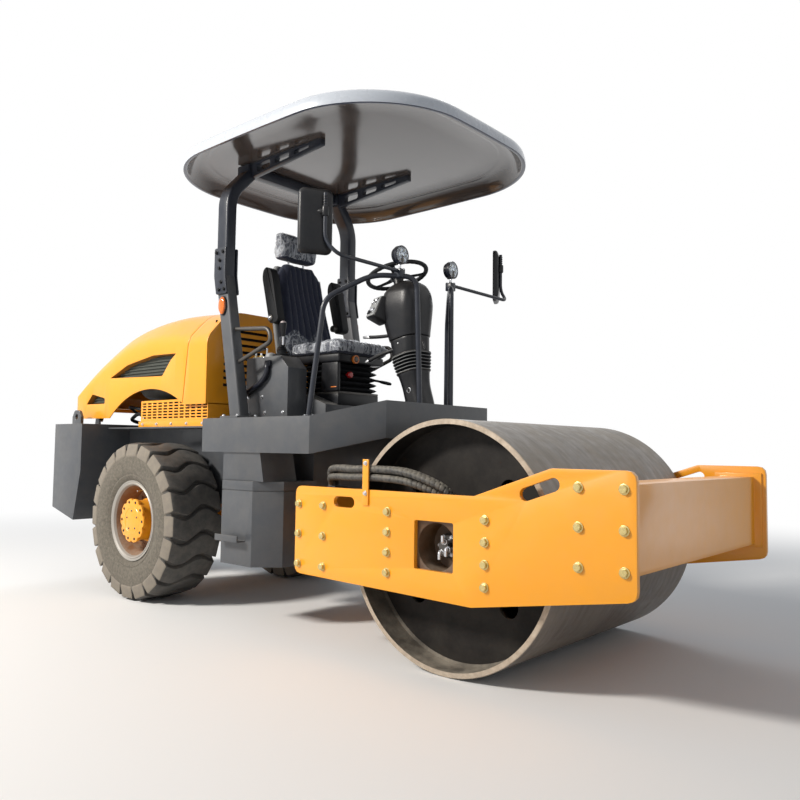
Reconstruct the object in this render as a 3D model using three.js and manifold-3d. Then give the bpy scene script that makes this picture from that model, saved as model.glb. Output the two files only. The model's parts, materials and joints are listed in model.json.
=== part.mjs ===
// Single-drum road roller with a canopy, an open platform and an articulated frame.
// Millimetres, +X forward, +Y left, +Z up. The origin is on the ground under the middle of the machine.
import * as THREE from "three";
import { mergeVertices } from "three/addons/utils/BufferGeometryUtils.js";
import Module from "manifold-3d";

const wasm = await Module();
wasm.setup();

// ---- driving dimensions ----
const seatGap = 0.3; // between two pieces that touch
const runningGap = 0.5; // round a pin, in its bore
const movingGap = 6; // between panels that part when one of them moves
const far = 4000; // past every face of the machine, for cutting

const wheelbase = 2650;
const frontOverhang = 983; // drum axle to the front of the side plates
const rearOverhang = 1319; // wheel axle to the back of the hood

const drumRadius = 600;
const drumWidth = 1524;
const drumShell = 25;
const drumHeadInset = 142;
const drumHeadThickness = 20;

const tyreRadius = 537.5;
const tyreWidth = 410;
const beadRadius = 258;
const wheelTrack = 1320; // between the middles of the tyres

const plateThickness = 25;
const plateDrumGap = 56; // from the drum's end to the side plate
const plateBoltSpan = 287; // drum axle to the carrier's bolt columns

const drumToPivot = 1170;
const tongueRadius = 90;
const pivotPinRadius = 40;
const pivotZ = drumRadius + 10;

const deckTop = 2 * tyreRadius + 155;
const deckHalf = 790;
const skirtHeight = 210;
const skirtThickness = 8;
const deckRampRise = 95;
const deckLength = 1302; // from the back of the skirts to the front edge
const deckRampLength = 300;
const deckPastPivot = 552; // the front edge ahead of the pivot

const chassisHalf = 400;
const chassisTop = deckTop - 40;
const chassisPlate = 20;
const chassisFloor = pivotZ - 190;
const axlePadTop = tyreRadius + 117.5; // under the frame's sides, over the axle
const engineFoot = tyreRadius + 242.5;

const hoodHalf = 600;
const hoodWall = 8;
const hoodFrontPastAxle = 483;

const postHalfTrack = 576;
const postLength = 110;
const postWidth = 80;
const postLean = 190; // how far the foot stands ahead of the bend
const postBendZ = deckTop + 960;
const postTopZ = deckTop + 1550;

const canopyLength = 2230;
const canopyHalf = 920;
const canopyMiddle = 607; // ahead of the upper posts
const canopyZ = deckTop + 1675; // underside of the rim
const canopyCrown = 105;
const canopyWall = 14;
const canopyCorner = 610;
const canopyBow = 0.035; // how far its sides bow outwards, as a share of its width

const counterweightHalf = 800;
const counterweightTop = deckTop - 15;
const counterweightSetback = 830; // its front face behind the wheel axle

// ---- places that follow from them ----
const totalLength = frontOverhang + wheelbase + rearOverhang;
const frontX = totalLength / 2;
const drumX = frontX - frontOverhang;
const axleX = drumX - wheelbase;
const rearX = -totalLength / 2;
const pivotX = drumX - drumToPivot;
const deckFrontX = pivotX + deckPastPivot;
const deckRearX = deckFrontX - deckLength;
const rampX = deckFrontX - deckRampLength;
const hoodFrontX = axleX + hoodFrontPastAxle;
const plateInner = drumWidth / 2 + plateDrumGap;
const plateOuter = plateInner + plateThickness;
const headInner = drumWidth / 2 - drumHeadInset - drumHeadThickness;
const postX = deckRearX - 90; // upper posts
const seatX = deckFrontX - 880; // middle of the seat cushion

// ---- materials ----
function paint(colour, roughness, metalness) {
  return new THREE.MeshStandardMaterial({ color: colour, roughness, metalness });
}
const yellow = paint(0xf5a510, 0.4, 0.1);
const grey = paint(0x63666a, 0.5, 0.2);
const black = paint(0x1b1d22, 0.5, 0.1);
const plastic = paint(0x14161c, 0.6, 0.0);
const rubber = paint(0x2c2b2a, 0.9, 0.0);
const steel = paint(0x7d7a74, 0.5, 0.8);
const chrome = paint(0xc9ccd0, 0.15, 1.0);
const fabric = paint(0x1a2136, 0.9, 0.0);
const white = paint(0xd8dce0, 0.35, 0.0);
const orange = paint(0xff7a00, 0.2, 0.0);

// ---- solids from three.js geometry ----
function asSolid(positions, triangles) {
  const mesh = { numProp: 3, vertProperties: positions, triVerts: triangles };
  return new wasm.Manifold(new wasm.Mesh(mesh));
}

function solid(geometry) {
  const bare = new THREE.BufferGeometry();
  bare.setAttribute("position", geometry.getAttribute("position"));
  bare.setIndex(geometry.index);
  const merged = mergeVertices(bare, 1e-3);
  const triangles = Uint32Array.from(merged.index.array);
  const made = asSolid(merged.attributes.position.array, triangles);
  if (made.volume() > 0) return made;
  return asSolid(merged.attributes.position.array, triangles.reverse());
}

function join(...solids) {
  return solids.reduce((whole, next) => whole.add(next));
}

function cut(base, ...tools) {
  return tools.reduce((left, tool) => left.subtract(tool), base);
}

function block(x0, x1, y0, y1, z0, z1) {
  const box = new THREE.BoxGeometry(x1 - x0, y1 - y0, z1 - z0);
  return solid(box.translate((x0 + x1) / 2, (y0 + y1) / 2, (z0 + z1) / 2));
}

// A bar or pin between two points.
function rod(from, to, radius, sides = 12) {
  const start = new THREE.Vector3(...from);
  const along = new THREE.Vector3(...to).sub(start);
  const bar = new THREE.CylinderGeometry(radius, radius, along.length(), sides);
  const up = new THREE.Vector3(0, 1, 0);
  const turn = new THREE.Quaternion().setFromUnitVectors(up, along.clone().normalize());
  const middle = start.addScaledVector(along, 0.5);
  return solid(bar.applyQuaternion(turn).translate(middle.x, middle.y, middle.z));
}

// Outline with its corners rounded: each point is [a, b] or [a, b, radius].
function outline(points, radius = 0, Kind = THREE.Shape) {
  const shape = new Kind();
  const count = points.length;
  points.forEach((point, i) => {
    const corner = new THREE.Vector2(point[0], point[1]);
    const before = new THREE.Vector2(...points[(i + count - 1) % count].slice(0, 2));
    const after = new THREE.Vector2(...points[(i + 1) % count].slice(0, 2));
    const into = before.sub(corner).normalize();
    const out = after.sub(corner).normalize();
    const reach = (point[2] ?? radius) / Math.tan(into.angleTo(out) / 2);
    const start = corner.clone().addScaledVector(into, reach);
    const end = corner.clone().addScaledVector(out, reach);
    if (i === 0) shape.moveTo(start.x, start.y);
    else shape.lineTo(start.x, start.y);
    if (reach > 0) shape.quadraticCurveTo(corner.x, corner.y, end.x, end.y);
  });
  shape.closePath();
  return shape;
}

function extruded(shape, depth) {
  return new THREE.ExtrudeGeometry(shape, { depth, bevelEnabled: false, curveSegments: 3 });
}

// An outline in X and Z, as thick as from y0 to y1.
function slabY(shape, y0, y1) {
  return solid(extruded(shape, y1 - y0).rotateX(Math.PI / 2).translate(0, y1, 0));
}

// An outline in X and Y, as thick as from z0 to z1.
function slabZ(shape, z0, z1) {
  return solid(extruded(shape, z1 - z0).translate(0, 0, z0));
}

// An outline in Y and Z, as thick as from x0 to x1.
function slabX(shape, x0, x1) {
  const made = extruded(shape, x1 - x0).rotateX(Math.PI / 2).rotateZ(Math.PI / 2);
  return solid(made.translate(x0, 0, 0));
}

// A closed profile of [radius, y] turned round an axle that lies along Y. Its flats stand at the radius.
function turnedY(profile, x, z, segments = 36) {
  const half = Math.PI / segments;
  const points = profile.map(([radius, y]) => new THREE.Vector2(radius / Math.cos(half), y));
  return solid(new THREE.LatheGeometry(points, segments, half).translate(x, 0, z));
}

// A straight-and-bent centre line through the given points.
function bentPath(points, bend) {
  const corners = points.map((point) => new THREE.Vector3(...point));
  const path = new THREE.CurvePath();
  let from = corners[0];
  for (let i = 1; i < corners.length - 1; i++) {
    const corner = corners[i];
    const back = corners[i - 1].clone().sub(corner);
    const on = corners[i + 1].clone().sub(corner);
    const reach = Math.min(bend, back.length() / 2.1, on.length() / 2.1);
    const start = corner.clone().addScaledVector(back.normalize(), reach);
    const end = corner.clone().addScaledVector(on.normalize(), reach);
    path.add(new THREE.LineCurve3(from, start));
    path.add(new THREE.QuadraticBezierCurve3(start, corner, end));
    from = end;
  }
  path.add(new THREE.LineCurve3(from, corners.at(-1)));
  return path;
}

function pipe(path, radius, steps, sides = 8) {
  const section = new THREE.Shape();
  section.absarc(0, 0, radius, 0, Math.PI * 2);
  const points = section.getSpacedPoints(sides);
  points.pop();
  const options = { steps, bevelEnabled: false, extrudePath: path };
  return solid(new THREE.ExtrudeGeometry(new THREE.Shape(points), options));
}

function bentPipe(points, radius, bend, steps, sides = 8) {
  return pipe(bentPath(points, bend), radius, steps, sides);
}

// A skin over equal rings of points, closed by a fan at each end.
function loft(rings) {
  const count = rings[0].length;
  const positions = rings.flat(2);
  const triangles = [];
  for (let r = 0; r < rings.length - 1; r++) {
    for (let i = 0; i < count; i++) {
      const a = r * count + i;
      const b = r * count + ((i + 1) % count);
      triangles.push(a, b, a + count, b, b + count, a + count);
    }
  }
  const last = (rings.length - 1) * count;
  for (let i = 1; i < count - 1; i++) {
    triangles.push(0, i + 1, i);
    triangles.push(last, last + i, last + i + 1);
  }
  const geometry = new THREE.BufferGeometry();
  geometry.setAttribute("position", new THREE.Float32BufferAttribute(positions, 3));
  geometry.setIndex(triangles);
  return solid(geometry);
}

function mirrored(made) {
  return made.mirror([0, 1, 0]);
}

// ---- front frame ----
// The front frame's outlines are measured from the drum's axle.
const plateOutline = [
  [-955, 248], [225, 248], [616, 382], [frontOverhang, 382], [frontOverhang, -115], [213, -242], [-955, -219],
];
const plateWindow = [[-115, -107], [115, -107], [115, 121], [-115, 121]];
const rampSlope = Math.atan2(134, 391); // of the plate's upper edge

function fromDrum(points) {
  return points.map(([x, z]) => [drumX + x, drumRadius + z]);
}

function sidePlate() {
  const shape = outline(fromDrum(plateOutline), 45);
  shape.holes.push(outline(fromDrum(plateWindow), 12, THREE.Path));
  const slot = (x, z, length, width, slope) => {
    const path = new THREE.Path();
    const reach = (length - width) / 2;
    const dx = reach * Math.cos(slope);
    const dz = reach * Math.sin(slope);
    const [[ax, az], [bx, bz]] = fromDrum([[x - dx, z - dz], [x + dx, z + dz]]);
    path.absarc(ax, az, width / 2, slope + Math.PI / 2, slope + Math.PI * 1.5);
    path.absarc(bx, bz, width / 2, slope - Math.PI / 2, slope + Math.PI / 2);
    path.closePath();
    return path;
  };
  shape.holes.push(slot(-586, 178, 150, 56, 0));
  shape.holes.push(slot(560, 292, 200, 58, rampSlope));
  return slabY(shape, plateInner, plateOuter);
}

const padThickness = 12;
const beamPlate = 20;

function crossBeam(x0, x1, webX, z0, z1) {
  const end = plateInner - seatGap;
  const pads = [-1, 1].map((side) => {
    const inner = side * (end - padThickness);
    return block(x0, x1, Math.min(inner, side * end), Math.max(inner, side * end), z0, z1);
  });
  const web = block(webX, webX + beamPlate, -end + 1, end - 1, z0 + 20, z1 - 20);
  return join(...pads, web);
}

function frontBeam() {
  const back = drumX + 715;
  const face = drumX + frontOverhang - 78;
  const top = drumRadius + 325;
  const bottom = drumRadius - 40;
  const end = plateInner - seatGap - 1;
  const lip = (z) => block(back + 30, face + beamPlate, -end, end, z, z + beamPlate);
  const beam = crossBeam(back, drumX + frontOverhang - 18, face, bottom - 15, top + 20);
  return join(beam, lip(bottom), lip(top - beamPlate));
}

const forkX = pivotX + 100;
const forkY = 270;
const eyeThickness = 40;
const forkPlate = 20;
const forkGap = 5;

const rearBeamTop = drumRadius + 230;
const rearBeamBottom = drumRadius - 200;

function rearBeam() {
  const web = drumX - 800;
  const end = plateInner - seatGap - 1;
  const pads = crossBeam(drumX - 950, drumX - 705, web, rearBeamBottom, rearBeamTop);
  const lip = (z) => block(web, web + 75, -end, end, z, z + beamPlate);
  const z0 = pivotZ - 124;
  const z1 = pivotZ + 124;
  const tongue = new THREE.Shape();
  tongue.absarc(pivotX, 0, tongueRadius, Math.PI / 2, Math.PI * 1.5);
  tongue.lineTo(web + 5, -tongueRadius);
  tongue.lineTo(web + 5, tongueRadius);
  const bore = rod([pivotX, 0, z0 - 5], [pivotX, 0, z1 + 5], pivotPinRadius + runningGap, 32);
  const forks = [-1, 1].flatMap((side) =>
    [0, 1].map((level) => {
      const ear = new THREE.Shape();
      ear.absarc(forkX, side * forkY, 45, Math.PI / 2, Math.PI * 1.5);
      ear.lineTo(web + 5, side * forkY - 70);
      ear.lineTo(web + 5, side * forkY + 70);
      const reach = eyeThickness / 2 + forkGap;
      const z = level ? pivotZ + reach : pivotZ - reach - forkPlate;
      return slabZ(ear, z, z + forkPlate);
    }),
  );
  const lips = [lip(rearBeamBottom + 2), lip(rearBeamTop - beamPlate - 2)];
  return cut(join(pads, ...lips, slabZ(tongue, z0, z1), ...forks), bore);
}

const stubRadius = 60;
const carrierTop = 190; // above the drum's axle

function drumCarrier() {
  const outer = plateInner - seatGap;
  const face = outline(fromDrum([[-330, -188], [330, -188], [330, carrierTop], [-330, carrierTop]]), 40);
  const plate = slabY(face, -outer, -outer + 20);
  const boss = rod([drumX, -outer + 10, drumRadius], [drumX, -headInner - 60, drumRadius], 165, 24);
  const stub = rod([drumX, -headInner - 61, drumRadius], [drumX, -headInner + 80, drumRadius], stubRadius, 48);
  const well = rod([drumX, -outer - 5, drumRadius], [drumX, -headInner - 90, drumRadius], 112, 24);
  return cut(join(plate, boss, stub), well);
}

// The rolled shell, open at both ends.
function drum() {
  const half = drumWidth / 2;
  const bore = drumRadius - drumShell;
  const tube = [[drumRadius, -half], [drumRadius, half], [bore, half], [bore, -half], [drumRadius, -half]];
  return turnedY(tube, drumX, drumRadius);
}

// The two heads that are welded into the shell, with the tube for the vibrator's shaft between them.
function drumHeads() {
  const edge = drumRadius - drumShell - seatGap;
  const hub = 110;
  const pocket = headInner - 100;
  const headOut = headInner + drumHeadThickness;
  const seat = stubRadius + runningGap;
  const spool = [
    [0, -pocket], [seat, -pocket], [seat, -headOut], [edge, -headOut], [edge, -headInner], [hub, -headInner],
    [hub, headInner], [edge, headInner], [edge, headOut], [seat, headOut], [seat, pocket], [0, pocket],
  ];
  const holes = [0, 1, 2, 3].map((i) => {
    const angle = Math.PI / 4 + (i * Math.PI) / 2;
    const x = drumX + 380 * Math.cos(angle);
    const z = drumRadius + 380 * Math.sin(angle);
    return rod([x, -headOut - 5, z], [x, headOut + 5, z], 50, 10);
  });
  return cut(turnedY(spool.reverse(), drumX, drumRadius), ...holes);
}

const hoseRadius = 19;

// Each strand's line: X and Z from the drum's axle, and Y out from the drum's end.
function hoseRoute(rise, out) {
  const route = [
    [-780, -59, 247], [-778, -54, 268], [-735, -14, 300 + rise],
    [-560, 21, 305 + rise], [-380, 23, 308 + rise],
    [-190, 21, 296 + rise], [-50 + rise, 1 - out * 0.4, 250 + rise * 0.6], [15 + rise, -24 - out * 0.6, 200],
  ];
  return route.map(([x, y, z]) => new THREE.Vector3(drumX + x, -drumWidth / 2 - y - out, drumRadius + z));
}

function drumHoses() {
  const strands = [0, 1, 2, 3].map((i) => {
    const route = hoseRoute(42 * (i >> 1), 38 * (i % 2));
    return pipe(new THREE.CatmullRomCurve3(route), hoseRadius, 12, 6);
  });
  const footZ = rearBeamTop - 2 + seatGap;
  const foot = block(drumX - 799, drumX - 740, -drumWidth / 2 + 2, -drumWidth / 2 + 102, footZ, footZ + 22);
  const headZ = drumRadius + carrierTop + seatGap;
  const head = block(drumX - 20, drumX + 90, -plateInner + 3, -plateInner + 93, headZ, headZ + 22);
  return join(foot, head, ...strands);
}

function hoseBracket() {
  const x = drumX - 430;
  const face = -plateOuter - seatGap;
  return block(x - 20, x + 20, face - 8, face, drumRadius + 170, drumRadius + 400);
}

// ---- wheels ----
function tyre() {
  const half = tyreWidth / 2;
  const r = tyreRadius;
  const side = [
    [beadRadius + 2, half - 43], [beadRadius + 18.5, half - 43], [beadRadius + 22, half - 26],
    [beadRadius + 70, half - 8],
    [beadRadius + 140, half], [r - 22, half], [r - 5, half - 28], [r, half - 110],
  ];
  const far = side.map(([radius, y]) => [radius, -y]).reverse();
  return [...side, ...far, side[0]];
}

const hubRadius = 150;

function rim() {
  const half = tyreWidth / 2;
  const seat = beadRadius + 1.5;
  const hubBore = hubRadius + seatGap;
  const dish = 40; // outer face of the dish, outboard of the tyre's middle
  return [
    [beadRadius + 17, half - 28], [beadRadius + 17, half - 40], [seat, half - 42],
    [seat - 30, half - 110], [seat - 30, -half + 110],
    [seat, -half + 42], [beadRadius + 17, -half + 40], [beadRadius + 17, -half + 28],
    [seat - 12, -half + 28], [seat - 44, -half + 100], [seat - 44, dish - 16], [hubBore, dish - 16],
    [hubBore, dish], [seat - 44, dish], [seat - 44, half - 100], [seat - 12, half - 28],
    [beadRadius + 17, half - 28],
  ];
}

const spindleRadius = 70;

function hub() {
  const bore = spindleRadius + runningGap;
  const neck = hubRadius - 12;
  const face = tyreWidth / 2 - 28; // flush with the rim
  return [
    [bore, -190], [hubRadius, -190], [hubRadius, 60], [neck, 66], [neck, face - 22], [hubRadius, face - 22],
    [hubRadius, face], [0, face], [0, -40], [bore, -40], [bore, -190],
  ];
}

function rearAxle() {
  const z = tyreRadius;
  const reach = wheelTrack / 2 - 200;
  const tube = rod([axleX, -reach, z], [axleX, reach, z], 88, 12);
  const spindle = rod([axleX, -reach - 150, z], [axleX, reach + 150, z], spindleRadius, 32);
  const bulb = turnedY(
    [[0, -170], [120, -160], [205, -90], [225, 0], [205, 90], [120, 160], [0, 170]],
    axleX, z, 12,
  );
  const pads = [-1, 1].map((side) =>
    block(axleX - 90, axleX + 90, side * 370 - 45, side * 370 + 28, z + 40, axlePadTop - seatGap),
  );
  return join(tube, spindle, bulb, ...pads);
}

// ---- rear frame ----
function chassis() {
  const back = axleX - counterweightSetback + seatGap;
  const front = pivotX - 130;
  const outer = chassisHalf;
  const inner = chassisHalf - chassisPlate;
  const side = outline([
    [back, chassisTop], [front, chassisTop], [front, chassisFloor], [front - 560, chassisFloor],
    [front - 740, axlePadTop], [back, axlePadTop],
  ]);
  const sides = [slabY(side, -outer, -inner), slabY(side, inner, outer)];
  const shelf = [-1, 1].map((s) =>
    block(back, deckRearX - 60, Math.min(s * (inner + 1), s * 585), Math.max(s * (inner + 1), s * 585),
      chassisTop - 12, chassisTop),
  );
  const wall = block(front - chassisPlate, front, -outer, outer, chassisFloor, chassisTop);
  const ports = [-1, 1].map((s) =>
    block(front - 60, front + 40, s * forkY - 95, s * forkY + 95, pivotZ - 80, pivotZ + 90),
  );
  const bar = (x) => block(x - 40, x + 40, -inner - 1, inner + 1, engineFoot - 60, engineFoot);
  const lugs = [pivotZ + 130, pivotZ - 130 - 40].map((z) => {
    const lug = new THREE.Shape();
    lug.absarc(pivotX, 0, tongueRadius, -Math.PI / 2, Math.PI / 2);
    lug.lineTo(front - 5, tongueRadius + 60);
    lug.lineTo(front - 5, -tongueRadius - 60);
    return slabZ(lug, z, z + 40);
  });
  const pin = rod([pivotX, 0, pivotZ - 165], [pivotX, 0, pivotZ + 165], pivotPinRadius, 32);
  const anchor = [-1, 1].flatMap((s) => {
    const x = forkX - cylinderLength;
    const y = s * forkY;
    const shelfPlate = block(x - 60, x + 40, Math.min(y - s * 35, s * inner), Math.max(y - s * 35, s * inner),
      pivotZ - 75, pivotZ - 45);
    return [shelfPlate, rod([x, y, pivotZ - 46], [x, y, pivotZ + 30], 20, 24)];
  });
  return cut(
    join(...sides, ...shelf, wall, bar(axleX - 640), bar(axleX + 300), ...lugs, pin, ...anchor),
    ...ports,
  );
}

function counterweight() {
  const back = axleX - 1270;
  const front = axleX - counterweightSetback;
  const shape = outline([
    [back, counterweightTop], [front, counterweightTop], [front, tyreRadius + 315.5],
    [front - 92, tyreRadius - 62.5], [back, tyreRadius + 19.5],
  ]);
  const mass = slabY(shape, -counterweightHalf, counterweightHalf);
  const lugs = [-1, 1].map((side) => {
    const x = back + 150;
    const top = counterweightTop + 75;
    const ear = outline([[x - 70, counterweightTop - 10], [x + 70, counterweightTop - 10],
      [x + 70, top - 15, 10], [x + 35, top + 38, 30], [x - 35, top + 38, 30], [x - 70, top - 15, 10]]);
    ear.holes.push(new THREE.Path().absarc(x, top - 15, 24, 0, Math.PI * 2));
    return slabY(ear, side * 690 - 12, side * 690 + 12);
  });
  const hinges = [-1, 1].flatMap((side) => {
    const ear = outline([[hingeX - 45, counterweightTop - 10], [hingeX + 45, counterweightTop - 10],
      [hingeX + 25, hingeZ + 22], [hingeX - 25, hingeZ + 22]], 8);
    const y = side * hingeY;
    return [
      slabY(ear, Math.min(y + side * 20, y + side * 32), Math.max(y + side * 20, y + side * 32)),
      rod([hingeX, y - side * 12, hingeZ], [hingeX, y + side * 26, hingeZ], hingePinRadius, 24),
    ];
  });
  return join(mass, ...lugs, ...hinges);
}

function engineBlock() {
  return block(axleX - 760, axleX + 340, -280, 280, engineFoot + seatGap, chassisTop - 10);
}

// ---- hood ----
const hingeX = axleX - 1262;
const hingeZ = deckTop + 38;
const hingeY = 420;
const hingePinRadius = 12;

// The crest and the side crease along the hood, from the front to the tail:
// X from its front, Z over the platform.
const crest = [
  [0, 770], [-183, 782], [-483, 790], [-833, 760], [-1103, 695], [-1433, 535], [-1613, 390], [-1802, 223],
];
const crease = [[0, 567], [-203, 574], [-628, 602], [-1075, 554], [-1366, 449], [-1571, 355], [-1802, 221]];
const hoodBottom = deckTop + 32;
const sideVents = [
  [[-1283, 346], [-1027, 436], [-670, 486], [-369, 480], [-439, 436], [-542, 326]],
  [[-1648, 150], [-1556, 230], [-1356, 192], [-1356, 148]],
];

function heightOn(line, x) {
  const i = line.findIndex(([far]) => far <= x);
  if (i <= 0) return line[0][1];
  const [x0, z0] = line[i - 1];
  const [x1, z1] = line[i];
  return z0 + ((z1 - z0) * (x - x0)) / (x1 - x0);
}

function hoodForm(inset) {
  const tail = crest.at(-1)[0] + 0.01;
  const stations = crest.map(([x]) => x).filter((x) => x > tail);
  const rings = [...stations, tail].map((x) => {
    const top = deckTop + heightOn(crest, x) - inset;
    const shoulder = deckTop + heightOn(crease, x) - inset * 0.4;
    const half = hoodHalf - inset;
    const flat = half - (top - shoulder) * 0.88;
    const at = hoodFrontX + x;
    const low = hoodBottom - 120;
    const right = [[at, -half, low], [at, -half, shoulder], [at, -flat, top]];
    return [...right, [at, flat, top], [at, half, shoulder], [at, half, low]];
  });
  return loft(rings);
}

// An arc through three points, from the first to the last.
function arcThrough(a, b, c, count) {
  const [[ax, az], [bx, bz], [cx, cz]] = [a, b, c];
  const d = 2 * (ax * (bz - cz) + bx * (cz - az) + cx * (az - bz));
  const sq = ([x, z]) => x * x + z * z;
  const x = (sq(a) * (bz - cz) + sq(b) * (cz - az) + sq(c) * (az - bz)) / d;
  const z = (sq(a) * (cx - bx) + sq(b) * (ax - cx) + sq(c) * (bx - ax)) / d;
  const radius = Math.hypot(ax - x, az - z);
  const start = Math.atan2(az - z, ax - x);
  const end = Math.atan2(cz - z, cx - x);
  return Array.from({ length: count + 1 }, (_, i) => {
    const angle = start + ((end - start) * i) / count;
    return [x + radius * Math.cos(angle), z + radius * Math.sin(angle)];
  });
}

const seamTop = [hoodFrontX - 170, deckTop + 970];
const seamFoot = [hoodFrontX - 278, deckTop + 124];

function hood() {
  const tail = hoodFrontX + crest.at(-1)[0];
  const core = hoodForm(hoodWall).intersect(block(tail + hoodWall, far, -far, far, 0, far));
  const archTop = [hoodFrontX - 625, deckTop + 235];
  const arch = arcThrough([hoodFrontX - 1276, hoodBottom], archTop, seamFoot, 14);
  const side = outline([
    [tail - 5, far], [tail - 5, deckTop + 111], [tail, deckTop + 111], [tail + 101, deckTop + 35],
    ...arch, seamTop,
    [seamTop[0] - 5, far],
  ]);
  const vents = sideVents.map((points) =>
    slabY(outline(points.map(([x, z]) => [hoodFrontX + x, deckTop + z]), 6), -far, far),
  );
  const shell = cut(hoodForm(0), core).intersect(slabY(side, -far, far));
  const straps = [-1, 1].map((s) => {
    const y = s * hingeY;
    const ear = outline([
      [hingeX - 22, hingeZ - 22], [hingeX + 22, hingeZ - 22], [hingeX + 60, hingeZ + 62],
      [hingeX + 20, hingeZ + 152], [hingeX - 30, hingeZ + 152], [hingeX - 30, hingeZ + 62],
    ], 8);
    const room = hoodForm(hoodWall - 1).add(
      block(hingeX - 40, hingeX + 80, y - 10, y + 10, hingeZ - 68, hingeZ + 77),
    );
    const bore = rod([hingeX, y - 20, hingeZ], [hingeX, y + 20, hingeZ], hingePinRadius + runningGap, 24);
    return cut(slabY(ear, y - 6, y + 6).intersect(room), bore);
  });
  const tieZ = hingeZ + 92;
  const tailTie = block(tail + 2, hingeX + 60, -hingeY - 6, hingeY + 6, tieZ, tieZ + 6);
  return cut(join(shell, tailTie, ...straps), ...vents);
}

function hoodFront() {
  const core = hoodForm(hoodWall).intersect(block(-far, hoodFrontX - hoodWall, -far, far, 0, far));
  const low = seamFoot[1] - 12;
  const side = outline([
    [seamFoot[0] + movingGap, low], [hoodFrontX + 5, low], [hoodFrontX + 5, seamTop[1]],
    [seamTop[0] + movingGap, seamTop[1]],
  ]);
  const shell = cut(hoodForm(0), core).intersect(slabY(side, -far, far));
  const inner = hoodHalf - 20;
  const foot = block(hoodFrontX - hoodWall, hoodFrontX, -inner, inner, chassisTop + seatGap, low + 8);
  return join(shell, foot);
}

function sideGrille() {
  const y = hoodHalf - 34;
  const front = hoodFrontX - hoodWall - seatGap;
  return block(hoodFrontX - 870, front, -y, -y + 6, chassisTop + seatGap, deckTop + 155);
}

// ---- platform ----
function deckPlan(inset) {
  const half = deckHalf - inset;
  const back = deckRearX + inset;
  const front = deckFrontX - inset;
  const slant = rampX - inset * 0.41;
  return outline([
    [back, -half], [slant, -half], [front, -half + front - slant],
    [front, half - front + slant], [slant, half],
    [back, half],
  ], 4);
}

function deckSide(drop, height) {
  const top = deckTop - drop;
  const back = deckRearX - 5;
  const front = deckFrontX + 5;
  return outline([
    [back, top - height], [back, top], [rampX, top], [front, top + deckRampRise],
    [front, top + deckRampRise - height], [rampX, top - height],
  ]);
}

function deck() {
  const inner = deckHalf - skirtThickness;
  const tray = slabZ(deckPlan(0), 0, far).intersect(slabY(deckSide(0, skirtHeight), -far, far));
  const room = slabZ(deckPlan(skirtThickness), 0, far)
    .add(block(deckRearX - 5, deckRearX + 50, -inner, inner, 0, far))
    .intersect(slabY(deckSide(skirtThickness, 2 * skirtHeight), -far, far));
  const underside = deckTop - skirtThickness / 2;
  const ribs = [-1, 1].map((s) => {
    const y = s * (chassisHalf - chassisPlate / 2);
    return block(deckRearX + 2, pivotX - 135, y - 20, y + 20, chassisTop + seatGap, underside);
  });
  const brace = [-1, 1].map((s) => {
    const shape = outline([
      [pivotX - 540, boxTop + seatGap], [pivotX - 150, boxTop + seatGap], [pivotX - 235, underside],
      [pivotX - 540, underside],
    ]);
    return slabY(shape, Math.min(s * 520, s * 775), Math.max(s * 520, s * 775));
  });
  return join(cut(tray, room), ...ribs, ...brace);
}

// What lies below the platform's floor, for cutting the feet that stand on it.
function belowFloor(gap) {
  const top = deckTop + gap;
  const rampTop = top + (far * deckRampRise) / deckRampLength;
  return slabY(outline([
    [-far, 0], [-far, top], [rampX, top], [rampX + far, rampTop], [rampX + far, 0],
  ]), -far, far);
}

const boxTop = deckTop - 380;
const boxBottom = deckTop - 880;

function stepBox() {
  const front = pivotX - 100;
  const back = front - 425;
  const half = deckHalf;
  const inner = chassisHalf + seatGap;
  const plan = outline([
    [back, -inner], [back, -half], [front - 130, -half], [front, -half + 130], [front, -inner],
  ], 3);
  const lid = slabZ(plan, boxTop - 54, boxTop);
  const tub = slabZ(plan, boxBottom, boxTop - 60);
  const seam = slabZ(outline([
    [back + 6, -inner], [back + 6, -half + 6], [front - 132, -half + 6],
    [front - 6, -half + 132], [front - 6, -inner],
  ]), boxTop - 61, boxTop - 53);
  const treadZ = boxBottom + 142;
  const step = [
    block(back + 20, front - 190, -half - 60, -half + 1, treadZ, treadZ + 8),
    block(back + 20, front - 190, -half - 60, -half - 52, treadZ, treadZ + 38),
  ];
  return join(lid, tub, seam, ...step);
}

// ---- rollover frame and canopy ----
const footX = postX + postLean;

// The middle of the leaning post, at a height over the platform.
function onPost(height, y) {
  return [footX - (postLean * height) / (postBendZ - deckTop), y, deckTop + height];
}

function lowerPost() {
  const s = postLength / 2;
  const w = postWidth / 2;
  const y = -postHalfTrack;
  const foot = block(footX - 90, footX + 90, y - 90, y + 90, deckTop + seatGap, deckTop + 20);
  const shape = outline([
    [footX - s, deckTop + 10], [footX + s, deckTop + 10], [postX + s, postBendZ], [postX - s, postBendZ],
  ]);
  const tube = slabY(shape, y - w, y + w);
  const grab = bentPipe([
    onPost(600, y), [footX + 275, y, deckTop + 570], [footX + 300, y, deckTop + 485], onPost(360, y),
  ], 14, 60, 12, 6);
  return join(foot, tube, grab);
}

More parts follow.
